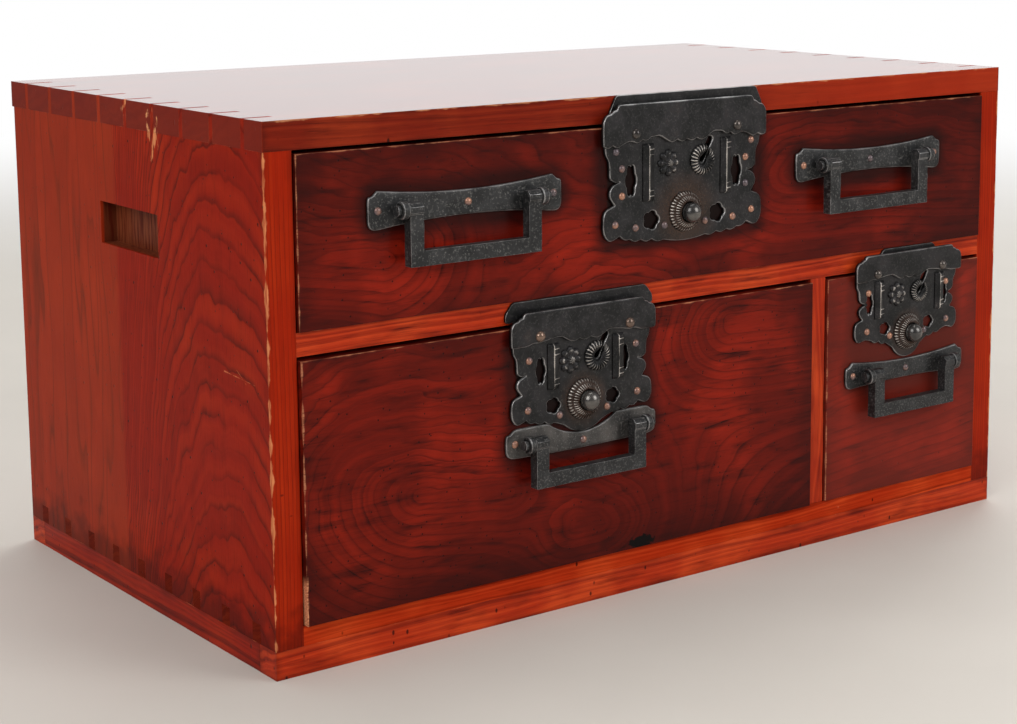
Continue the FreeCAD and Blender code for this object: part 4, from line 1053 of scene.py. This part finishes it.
def iron(name, dark=BLACK_IRON, light=GREY_IRON, pitted=0.2, polish=0.0, metal=0.4, blooms=(),
         rim_tone=RIM_GREY):
    """Blackened iron; blooms lists places with brown rust, each a centre and a radius."""
    finish = Finish(name)
    x, _, z = finish.axes
    patch = finish.cloud(11.0, detail=4.0)
    pit = finish.cloud(1.3, detail=3.0, shift=2.2)
    fine = finish.cloud(0.45, detail=2.0, shift=5.0)
    colour = finish.blend(dark, light, patch.step(0.36, 0.68))
    speck = pit.step(0.52, 0.66) * pitted
    colour = finish.blend(colour, PIT_GREY, speck * fine.step(0.42, 0.6))
    rust = patch.step(0.62, 0.78) * 0.2
    for (centre_x, centre_z), radius in blooms:
        off = x - centre_x
        up = z - centre_z
        far = (off * off + up * up) ** 0.5 - patch * 10.0
        rust = rust.most(far.step(radius, radius * 0.2) * 0.8)
    colour = finish.blend(colour, RUST, rust * fine.step(0.3, 0.62))
    rim = finish.node("Attribute", {"attribute_name": "wear"}, output="Fac")
    bright = (rim + (patch - 0.5) * 1.6 + (fine - 0.5) * 0.7).step(0.42, 1.1) * 0.9
    colour = finish.blend(colour, rim_tone, bright)
    finish.set("Base Color", colour)
    finish.set("Metallic", metal + (0.9 - metal) * bright)
    finish.set("Roughness", (0.44 - 0.25 * polish) + 0.2 * speck - 0.12 * bright)
    finish.bump(patch * 0.5 - speck * 1.2 + fine * 0.2, 0.5 - 0.4 * polish, 0.4)
    return finish


print("iron ready")

# %% [markdown]
# Ribbed, turned and flat pieces could each be modelled by hand. Here all are rows of points that are joined
# like the hoops of a barrel: a nail is turned like a pot, and a washer is a ring of sections that ripple.
# Each takes its place and size from the solid that it stands for. A fourth number in a point marks wear.

# %% Hoops
def new_work():
    """An empty set of faces, whose points can be marked as worn."""
    work = bmesh.new()
    work.verts.layers.float.new("wear")
    return work


def hoop(work, loop):
    """New points for one loop, each given in millimetres with its wear."""
    mark = work.verts.layers.float["wear"]
    row = []
    for x, y, z, worn in loop:
        row.append(work.verts.new(Vector((x, y, z)) * MM))
        row[-1][mark] = worn
    return row


def join(work, one, two):
    """Faces between two rows of equal length."""
    for number, corner in enumerate(one):
        after = (number + 1) % len(one)
        work.faces.new((corner, one[after], two[after], two[number]))


def hoops(work, loops, ring=False):
    """Joins equal loops of points with faces, and closes the ends or joins the last loop to the first."""
    rows = [hoop(work, loop) for loop in loops]
    for one, two in zip(rows, rows[1:]):
        join(work, one, two)
    if ring:
        join(work, rows[-1], rows[0])
    else:
        work.faces.new(rows[0][::-1])
        work.faces.new(rows[-1])


def close(work):
    """Turns all faces outward."""
    bmesh.ops.recalc_face_normals(work, faces=work.faces)
    return work


print("hoops ready")

# %% [markdown]
# Every flat mount was chiselled from sheet: round lobes, sharp notches between them and pierced cuts.
# The frame has these outlines in short straight runs. They could be drawn anew as curves,
# but easing the runs keeps each outline where it is. Notches stay sharp.

# %% Outlines
NAIL_HOLE = 12.0
CUSP = math.radians(48)
CUSP_EASE = 0.25
EASE_STEPS = 5
EDGE_SHARE = 0.49
LEAST_TURN = 0.1
CORNER_HOLD = 0.6


def loop_area(loop):
    """The area inside an outline, which is below zero for a hole."""
    return sum(one.cross(two) for one, two in zip(loop, loop[1:] + loop[:1])) / 2


def front_loops(node):
    """Outlines of a plate's front face and of its larger holes, as points of x and z in millimetres."""
    work = bmesh.new()
    work.from_mesh(nodes[node].data)
    bmesh.ops.remove_doubles(work, verts=work.verts, dist=WELD)
    front = min(point.co.y for point in work.verts)
    faces = [face for face in work.faces if all(point.co.y - front < WELD for point in face.verts)]
    after = {}
    for face in faces:
        for corner in face.loops:
            if not all(other in faces for other in corner.edge.link_faces):
                after[corner.vert] = corner.link_loop_next.vert
    found = []
    while after:
        point = next(iter(after))
        loop = []
        while point in after:
            loop.append(Vector((point.co.x, point.co.z)) / MM)
            point = after.pop(point)
        found.append(loop)
    work.free()
    return [loop for loop in found if abs(loop_area(loop)) > NAIL_HOLE]


def neighbours(loop):
    """Each point of a loop with the points before and after it."""
    return zip(loop[-1:] + loop[:-1], loop, loop[1:] + loop[:1])


def eased(loop, reach):
    """Rounds the corners of an outline within a reach, but leaves its sharp notches."""
    points = []
    for before, here, after in neighbours(loop):
        back = before - here
        ahead = after - here
        hold = CUSP_EASE if (-back).angle_signed(ahead, 0.0) > CUSP else reach
        start = here + back.normalized() * min(hold, back.length * EDGE_SHARE)
        end = here + ahead.normalized() * min(hold, ahead.length * EDGE_SHARE)
        for step in range(EASE_STEPS + 1):
            share = step / EASE_STEPS
            points.append(start.lerp(here, share).lerp(here.lerp(end, share), share))
    return points


def inset(loop, depth):
    """A loop moved into the iron by a depth, with its sharp corners held back."""
    moved = []
    for before, here, after in neighbours(loop):
        one = (here - before).normalized()
        two = (after - here).normalized()
        left = Vector((-one.y, one.x))
        side = left + Vector((-two.y, two.x))
        side = side.normalized() if side.length > LEAST_TURN else left
        moved.append(here + side * (depth / max(CORNER_HOLD, side.dot(left))))
    return moved


print("outlines ready")

# %% [markdown]
# A sheet is four rows of points along each outline, from its back to its rounded front rim.
# Its front and its back are then filled with triangles, and the turn of the rim is marked as worn.

# %% Sheet iron
RIM_TURN = 0.3


def pieces(outlines):
    """The numbers of outlines that belong together: an outer one and the cuts between its ends."""
    holes = [number for number, outline in enumerate(outlines) if loop_area(outline) < 0]
    groups = []
    for number, outline in enumerate(outlines):
        if number not in holes:
            left, right = [pick(point.x for point in outline) for pick in (min, max)]
            groups.append([number] + [hole for hole in holes if left < outlines[hole][0].x < right])
    return groups


def sheet(node, outlines, rim):
    """Sheet iron as thick as a node, cut to outlines, with its front rims rounded and marked as worn."""
    low, high = box_of(node)
    front = low[1]
    turn = RIM_TURN * rim
    levels = ((0.0, high[1], 0.0), (0.0, front + rim, 0.5), (turn, front + turn, 1.0), (rim, front, 0.0))
    work = new_work()
    stacks = []
    for outline in outlines:
        rows = []
        for depth, y, worn in levels:
            rows.append(hoop(work, [(x, y, z, worn) for x, z in inset(outline, depth)]))
        for one, two in zip(rows, rows[1:]):
            join(work, one, two)
        stacks.append(rows)
    for piece in pieces(outlines):
        for level in (0, -1):
            rims = [stacks[number][level] for number in piece]
            flat = [[Vector((point.co.x, point.co.z, 0.0)) / MM for point in row] for row in rims]
            points = [point for row in rims for point in row]
            for three in tessellate_polygon(flat):
                work.faces.new([points[number] for number in three])
    return close(work)


print("sheet iron ready")

# %% [markdown]
# The lower edges of covers and lock plates hang in small scallops. Each lock plate is pierced four times,
# with tall cuts beside the guide bars and round ones below, lobed like a cloud.
# Both follow a wave along a line, so their number and depth are plain values.

# %% Scallops and cuts
SCALLOP_WIDTH = 7.5
SCALLOP_DEPTH = 1.3
SCALLOP_STEPS = 6
LEVEL_SLOPE = 0.36
CUT_POINTS = 5
CUT_STEPS = 48
CUT_LOBING = 0.2
TALL_GROWTH = Vector((2.2, 1.02))
ROUND_GROWTH = Vector((1.4, 1.3))
ROUND_MOVE = Vector((1.7, -0.8))
TALL_LOBES = 6
ROUND_LOBES = 5


def scalloped(loop, least):
    """Small hanging scallops along the nearly level runs of a lower edge."""
    points = []
    for here, after in zip(loop, loop[1:] + loop[:1]):
        points.append(here)
        run = after - here
        if run.x > least and abs(run.y) < run.x * LEVEL_SLOPE:
            steps = max(1, round(run.x / SCALLOP_WIDTH)) * SCALLOP_STEPS
            for step in range(1, steps):
                drop = SCALLOP_DEPTH * abs(math.sin(math.pi * step / SCALLOP_STEPS))
                points.append(here + run * (step / steps) - Vector((0.0, drop)))
    return points


def lobed_cut(loop, middle, tall_move):
    """A lobed cut in place of a plain one; it lies further out from the middle of its plate."""
    low = Vector([min(point[axis] for point in loop) for axis in range(2)])
    high = Vector([max(point[axis] for point in loop) for axis in range(2)])
    half = (high - low) / 2
    growth, lobes, move = ROUND_GROWTH, ROUND_LOBES, ROUND_MOVE
    if half.y > half.x * 2:
        growth, lobes, move = TALL_GROWTH, TALL_LOBES, tall_move
    centre = (low + high) / 2
    centre += Vector((math.copysign(move.x, centre.x - middle), move.y))
    points = []
    for number in range(CUT_STEPS):
        angle = -math.tau * number / CUT_STEPS
        swell = 1 - CUT_LOBING * (1 - abs(math.cos(lobes * angle / 2)))
        points.append(centre + half * growth * swell * Vector((math.cos(angle), math.sin(angle))))
    return points


print("scallops", SCALLOP_WIDTH, "mm wide")

# %% [markdown]
# A lock has a large plate, a cover lapped across its top, a strike plate behind that, and a forked bolt.
# Plates and covers take their outlines from the frame, so they stay where the nails and joints expect them.
# Rust blooms round each button, and its reach differs from lock to lock.

# %% Plates and covers
PLATE_EASE = 4.0
PLATE_RIM = 1.0
COVER_EASE = 2.0
BOLT_ROUND = 0.55
COVER_RUN = 12.0
PLATE_RUN = 6.0
TALL_MOVES = {"upper": Vector((5.1, 0.0)), "large": Vector((1.4, 1.5)), "small": Vector((1.3, 0.0))}
STRIKE_MOVES = {"upper": (1.02, 4.5), "large": (1.07, 1.2), "small": (1.0, 3.0)}
BLOOM_REACH = {"upper": 24.0, "large": 15.0, "small": 13.0}


def lock_outlines(drawer):
    """The outline of a lock plate with its cuts and holes."""
    node = f"{drawer}_lock_plate"
    middle, _ = middle_of(node)
    outlines = []
    for loop in front_loops(node):
        if len(loop) == CUT_POINTS:
            outlines.append(lobed_cut(loop, middle, TALL_MOVES[drawer]))
        elif loop_area(loop) > 0:
            outlines.append(eased(scalloped(loop, PLATE_RUN), PLATE_EASE))
        else:
            outlines.append(eased(loop, COVER_EASE))
    return outlines


def strike_outlines():
    """Outlines of the three strike plates, each fitted to the cover in front of it."""
    outlines = []
    for loop in front_loops("strike_plates"):
        centre = sum(point.x for point in loop) / len(loop)
        drawer = min(STRIKE_MOVES, key=lambda name: abs(middle_of(f"{name}_lock_plate")[0] - centre))
        stretch, shift = STRIKE_MOVES[drawer]
        moved = [Vector((centre + (point.x - centre) * stretch + shift, point.y)) for point in loop]
        outlines.append(eased(moved, COVER_EASE))
    return outlines


blooms = [(middle_of(f"{drawer}_lock_button"), reach) for drawer, reach in BLOOM_REACH.items()]
lock_iron = iron("lock_iron", blooms=blooms)
trim_iron = iron("trim_iron", blooms=blooms, rim_tone=TRIM_WEAR_AND_HIGHLIGHT)
finished("strike_plates", sheet("strike_plates", strike_outlines(), BOLT_ROUND), lock_iron)
for drawer in figures:
    plate = f"{drawer}_lock_plate"
    finished(plate, sheet(plate, lock_outlines(drawer), PLATE_RIM), lock_iron)
    cover = f"{drawer}_lock_cover"
    outlines = [eased(scalloped(loop, COVER_RUN), COVER_EASE) for loop in front_loops(cover)]
    finished(cover, sheet(cover, outlines, PLATE_RIM), lock_iron)
    finished(f"{drawer}_lock_bolt", softened(f"{drawer}_lock_bolt", BOLT_ROUND), lock_iron)
print(len(figures), "locks cut")

# %% [markdown]
# Each bail is a square bar bent twice. It was forged, so its faces are pitted and its edges uneven.
# The plate on the large drawer is greyer than the others, as if more hands had passed over it.

# %% Handle plates and bails
BAIL_ROUND = 0.9
BAIL_RUB = 0.5
BAIL_PITCH = 3.0
handle_iron = iron("pitted_iron", paint(24, 24, 25), paint(48, 48, 49), pitted=0.7, metal=0.25)
worn_iron = iron("worn_iron", paint(48, 46, 45), paint(84, 80, 77), pitted=0.7, metal=0.25)
for drawer, node in handle_nodes.items():
    outlines = [eased(loop, PLATE_EASE) for loop in front_loops(node)]
    finished(node, sheet(node, outlines, PLATE_RIM), worn_iron if drawer == "large" else handle_iron)
bails = [name for name in nodes if name.endswith("_bail")]
for node in bails:
    finished(node, softened(node, BAIL_ROUND, BAIL_RUB, BAIL_PITCH), handle_iron)
print(len(handle_nodes), "sets of handle plates and", len(bails), "bails")

# %% [markdown]
# Nails, rivets and buttons are round, so each is a profile that is turned about an axis, as on a lathe.
# Scaled spheres would be quicker, but a profile also gives shanks, necks and flat rims.

# %% Turned pieces
def around(number, sides):
    """One of several even steps round a circle."""
    angle = math.tau * number / sides
    return math.cos(angle), math.sin(angle)


def turned(centre, profile, sides):
    """Loops for a profile of radius and height, turned about an axis that points out of the front."""
    turns = [around(number, sides) for number in range(sides)]
    loops = []
    for radius, height in profile:
        y = centre.y - height
        loops.append([(centre.x + radius * a, y, centre.z + radius * b, 0.0) for a, b in turns])
    return loops


def dome(radius, height, rings):
    """A dome's profile, from its rim almost to its top."""
    turns = [math.pi / 2 * number / rings for number in range(rings)]
    return [(radius * math.cos(angle), height * math.sin(angle)) for angle in turns]


def seat_of(points):
    """Where a round piece sits on its plate, with its radius and height."""
    low, high = span(points)
    centre = Vector(((low.x + high.x) / 2, high.y, (low.z + high.z) / 2))
    return centre, (high.z - low.z) / 2, high.y - low.y


print("ready to turn")

# %% [markdown]
# Two kinds of pins hold the iron: small nails with coppery heads, and a few larger rivets of steel.
# Their heads are domes that sit a hair inside the plate, and their shanks taper to a point in the wood.
# Nails and rivets of one drawer are two pieces, because they have different finishes.

# %% Nails and rivets
HEAD_SIDES = 20
HEAD_RINGS = 6
HEAD_TRIM = 0.9
RIVET_RADIUS = 3.0
SHANK = 0.4
HEAD_SHARE = 0.8
HEAD_SINK = 0.15
HEAD_TOP = 0.1
TIP_RADIUS = 0.2
TIP_LENGTH = 2.0


def head_of(points):
    """Centre of a nail's head where it meets the plate, its radius, its height and the end of its shank."""
    low, high = span(points)
    middle = (low + high) / 2
    radius = (high.x - low.x) / 2
    base = max(point.y for point in points if abs(point.x - middle.x) > radius * HEAD_SHARE)
    return Vector((middle.x, base, middle.z)), radius, base - low.y, high.y


def nail(work, points):
    """A pointed shank with a domed head."""
    base, radius, height, tip = head_of(points)
    radius = radius * HEAD_TRIM
    shank = radius * SHANK
    depth = base.y - tip
    profile = [(TIP_RADIUS, depth), (shank, depth + TIP_LENGTH), (shank, -HEAD_SINK), (radius, -HEAD_SINK)]
    profile += dome(radius, height, HEAD_RINGS) + [(radius * HEAD_TOP, height)]
    hoops(work, turned(base, profile, HEAD_SIDES))


copper = iron("coppery_nails", paint(98, 88, 92), paint(184, 132, 106), polish=0.8)
dark_steel = iron("dark_rivets", paint(60, 57, 56), paint(104, 96, 90), 0.1, polish=1.0, metal=0.7)
brown_steel = iron("brown_rivets", paint(84, 72, 66), paint(140, 114, 98), 0.1, polish=0.9, metal=0.6)
rivet_iron = {"upper": dark_steel, "large": brown_steel, "small": dark_steel}
for drawer in figures:
    node = f"{drawer}_drawer_nails"
    heads = sorted(solids_of(node), key=lambda points: head_of(points)[1])
    nails = [points for points in heads if head_of(points)[1] < RIVET_RADIUS]
    work = new_work()
    for points in nails:
        nail(work, points)
    finished(node, close(work), copper)
    work = new_work()
    for points in heads[len(nails):]:
        nail(work, points)
    finished(node, close(work), rivet_iron[drawer], "rivets")
    print(node, len(nails), "nails and", len(heads) - len(nails), "rivets")

# %% [markdown]
# The button of a lock is pressed with a thumb, so it is polished. It is a dome on a grooved neck.
# Its neck is thin near the plate, because the knob sinks into the washer when it is pressed.

# %% Buttons
BUTTON_NECK = (
    (0.385, 0.0), (0.385, 0.31), (0.86, 0.33), (0.94, 0.38),
    (0.86, 0.44), (0.84, 0.48), (0.93, 0.54), (1.0, 0.6),
)
BUTTON_SIDES = 32
CROWN_RINGS = 8
BUTTON_TRIM = 0.93
BUTTON_DROP = 0.84
CROWN_TOP = 0.06
polished = iron("polished_iron", paint(72, 71, 71), paint(116, 112, 108), 0.1, polish=0.8, metal=0.75)
for drawer in figures:
    node = f"{drawer}_lock_button"
    low, high = span(solids_of(node)[0])
    seat = box_of(f"{drawer}_lock_plate")[0][1]
    centre = Vector(((low.x + high.x) / 2, seat, (low.z + high.z) / 2))
    radius = (high.x - low.x) / 2 * BUTTON_TRIM
    height = (seat - low.y) * BUTTON_DROP
    brow = BUTTON_NECK[-1][1]
    profile = [(radius * BUTTON_NECK[0][0], seat - high.y)]
    profile += [(radius * share, height * up) for share, up in BUTTON_NECK]
    profile += [(r, height * brow + up) for r, up in dome(radius, height * (1 - brow), CROWN_RINGS)[1:]]
    profile.append((radius * CROWN_TOP, height))
    work = new_work()
    hoops(work, turned(centre, profile, BUTTON_SIDES))
    finished(node, close(work), polished)
print("buttons turned")

# %% [markdown]
# The trim of a lock is five small forgings: two bars, a flower, a rosette round the keyhole and a washer.
# Ribs could be painted on as a bump, but here they are real ridges, because light catches each one.
# A ribbed ring is a section that is carried round a circle and rises and falls with each rib.

# %% Ribbed rings
STEPS_PER_RIB = 6
WASHER_RIBS = 36
ROSETTE_RIBS = 22
WASHER_DEPTH = 1.0
ROSETTE_DEPTH = 1.1
RIB_PINCH = 0.05
WASHER_SECTION = (
    (0.5, 0.0, 0.0), (0.5, 0.95, 0.0), (0.56, 1.0, 0.4), (0.68, 0.9, 1.0), (0.76, 0.66, 1.0),
    (0.79, 0.5, 0.2), (0.83, 0.52, 0.5), (0.92, 0.42, 1.0), (0.98, 0.2, 1.0), (1.0, 0.0, 0.5)
)
ROSETTE_SECTION = (
    (0.3, 0.0, 0.0), (0.3, 0.45, 0.0), (0.42, 0.62, 0.2), (0.6, 0.95, 0.8), (0.74, 1.0, 1.0),
    (0.9, 0.76, 1.0), (0.98, 0.4, 1.0), (1.0, 0.0, 0.6)
)
KEY_SLANT = math.radians(60)
KEY_HALF = 1.9
CREST = 3


def ribbed_ring(work, points, section, ribs, depth, slot=None):
    """A ring of ribs round an open middle; slot is the angle and half width of a gap for a key."""
    centre, radius, height = seat_of(points)
    steps = ribs * STEPS_PER_RIB
    loops = []
    for number in range(steps + 1 if slot else steps):
        share = number / steps
        crest = abs(math.cos(math.pi * ribs * share))
        loop = []
        for across, up, rib in section:
            r = radius * across * (1 - RIB_PINCH * rib * (1 - crest))
            angle = math.tau * share
            if slot:
                opening = math.asin(min(1.0, slot[1] / r))
                angle = slot[0] + opening + share * (math.tau - 2 * opening)
            rise = max(0.0, height * up - depth * rib * (1 - crest))
            place = (centre.x + r * math.cos(angle), centre.y - rise, centre.z + r * math.sin(angle))
            loop.append((*place, rib * crest ** CREST))
        loops.append(loop)
    hoops(work, loops, ring=not slot)


print(WASHER_RIBS, "ribs on a washer and", ROSETTE_RIBS, "on a rosette")

# %% [markdown]
# The flower is a turned cup whose rim is drawn in and dips between its petals, with a small heart.
# A guide bar is one ridged section that is carried along a line and rounded off at its ends,
# with two raised ticks across one slope near each end. Its ridge is pale, partly worn and partly a painted
# highlight.

# %% Flowers and bars
FLOWER_SIDES = 96
PETALS = 8
FLOWER_SPREAD = 1.27
FLOWER_PROFILE = (
    (1.0, 0.0), (1.0, 0.2), (0.9, 0.5), (0.72, 0.66), (0.52, 0.6),
    (0.38, 0.44), (0.32, 0.5), (0.24, 0.92), (0.05, 1.0),
)
PETAL_ROUND = 0.6
PETAL_NOTCH = 0.3
PETAL_DIP = 0.65
HEART_FREE = 2.2
PETAL_WEAR = 0.6
WORN_ABOVE = 0.6
BAR_STEPS = 90
BAR_HALF = 4.1
BAR_HEIGHT = 2.3
BAR_MOVE = 1.6
# The third number of each point is wear; the full wear on the ridge is partly a painted highlight.
BAR_SECTION = (
    (-1.0, 0.0, 0.0), (-0.94, 0.3, 0.2), (-0.28, 0.86, 0.0), (-0.1, 1.0, 1.0),
    (0.08, 0.9, 0.0), (0.94, 0.34, 0.0), (1.0, 0.0, 0.0),
)
BAR_TICKS = (3.2, 6.4)
TICK_HALF = 0.35
TICK_RISE = 0.4
BAR_END = 1.4
END_LEAST = 0.05


def flower(work, points):
    """Cupped petals round a small heart."""
    centre, radius, height = seat_of(points)
    radius = radius * FLOWER_SPREAD
    loops = []
    for across, up in FLOWER_PROFILE:
        loop = []
        for number in range(FLOWER_SIDES):
            a, b = around(number, FLOWER_SIDES)
            petal = abs(math.cos(math.pi * PETALS * number / FLOWER_SIDES)) ** PETAL_ROUND
            r = radius * across * (1 - PETAL_NOTCH * across * (1 - petal))
            rise = height * up * (1 - PETAL_DIP * (1 - petal) * min(1.0, across * HEART_FREE))
            worn = PETAL_WEAR * petal * (up > WORN_ABOVE)
            loop.append((centre.x + r * a, centre.y - rise, centre.z + r * b, worn))
        loops.append(loop)
    hoops(work, loops)


def bar(work, points):
    """A ridged bar with bright ticks across one slope near both ends, and a pale ridge that is partly a
    painted highlight.
    """
    low, high = span(points)
    middle = (low.x + high.x) / 2 + BAR_MOVE
    length = high.z - low.z
    loops = []
    for number in range(BAR_STEPS + 1):
        end = min(number, BAR_STEPS - number) / BAR_STEPS * length
        rounding = math.sqrt(max(END_LEAST, min(1.0, end / BAR_END)))
        tick = any(abs(end - place) < TICK_HALF for place in BAR_TICKS)
        z = low.z + length * number / BAR_STEPS
        loop = []
        for across, up, worn in BAR_SECTION:
            raised = tick and across > 0 and up > 0
            rise = BAR_HEIGHT * rounding * up + (TICK_RISE if raised else 0.0)
            loop.append((middle + BAR_HALF * across, high.y - rise, z, 1.0 if raised else worn))
        loops.append(loop)
    hoops(work, loops)


print(PETALS, "petals on a flower")

# %% [markdown]
# The solids of a lock's trim can be told apart by their width, so no list of places is needed.
# The two bars are narrowest, then come the flower, the rosette and the washer.

# %% Trim of the locks
for drawer in figures:
    node = f"{drawer}_lock_trim"
    forgings = sorted(solids_of(node), key=lambda points: span(points)[1].x - span(points)[0].x)
    work = new_work()
    for points in forgings[:2]:
        bar(work, points)
    flower(work, forgings[2])
    ribbed_ring(work, forgings[3], ROSETTE_SECTION, ROSETTE_RIBS, ROSETTE_DEPTH, (KEY_SLANT, KEY_HALF))
    ribbed_ring(work, forgings[4], WASHER_SECTION, WASHER_RIBS, WASHER_DEPTH)
    finished(node, close(work), trim_iron)
print("trim forged")

# %% [markdown]
# Each bail hangs in two eyes. An eye is a ring with rounded rims on a square shank that goes through
# the plate into the wood. A torus would be too round, so the ring is turned from a flat section.

# %% Eyes
EYE_SIDES = 28
EYE_SECTION = (
    (None, -1.0), (0.84, -1.0), (0.96, -0.75), (1.0, -0.3),
    (1.0, 0.3), (0.96, 0.75), (0.84, 1.0), (None, 1.0),
)
EYE_WEAR = 0.9
SHANK_SHARE = 0.7
SHANK_GAP = 0.6
SHANK_TIP = 3.0
TIP_SHARE = 0.4


def eye(work, points):
    """A ring that a bail turns in, with its shank."""
    low, high = span(points)
    radius = (high.z - low.z) / 2
    centre = Vector(((low.x + high.x) / 2, low.y + radius, (low.z + high.z) / 2))
    half = (high.x - low.x) / 2
    bore = min(math.hypot(point.y - centre.y, point.z - centre.z) for point in points)
    turns = [around(number, EYE_SIDES) for number in range(EYE_SIDES)]
    loops = []
    for share, across in EYE_SECTION:
        r = radius * share if share else bore
        worn = EYE_WEAR if share and share < 1.0 and abs(across) < 1.0 else 0.0
        x = centre.x + half * across
        loops.append([(x, centre.y + r * a, centre.z + r * b, worn) for a, b in turns])
    hoops(work, loops, ring=True)
    thick = half * SHANK_SHARE
    shank = ((centre.y + bore + SHANK_GAP, thick), (high.y - SHANK_TIP, thick), (high.y, thick * TIP_SHARE))
    loops = []
    for y, wide in shank:
        loops.append([(centre.x + a * wide, y, centre.z + b * wide, 0.0) for a, b in SQUARE])
    hoops(work, loops)


eye_nodes = [name for name in nodes if name.endswith("_handle_eyes")]
for node in eye_nodes:
    work = new_work()
    for points in solids_of(node):
        eye(work, points)
    finished(node, close(work), handle_iron)
print(len(eye_nodes), "sets of eyes forged")
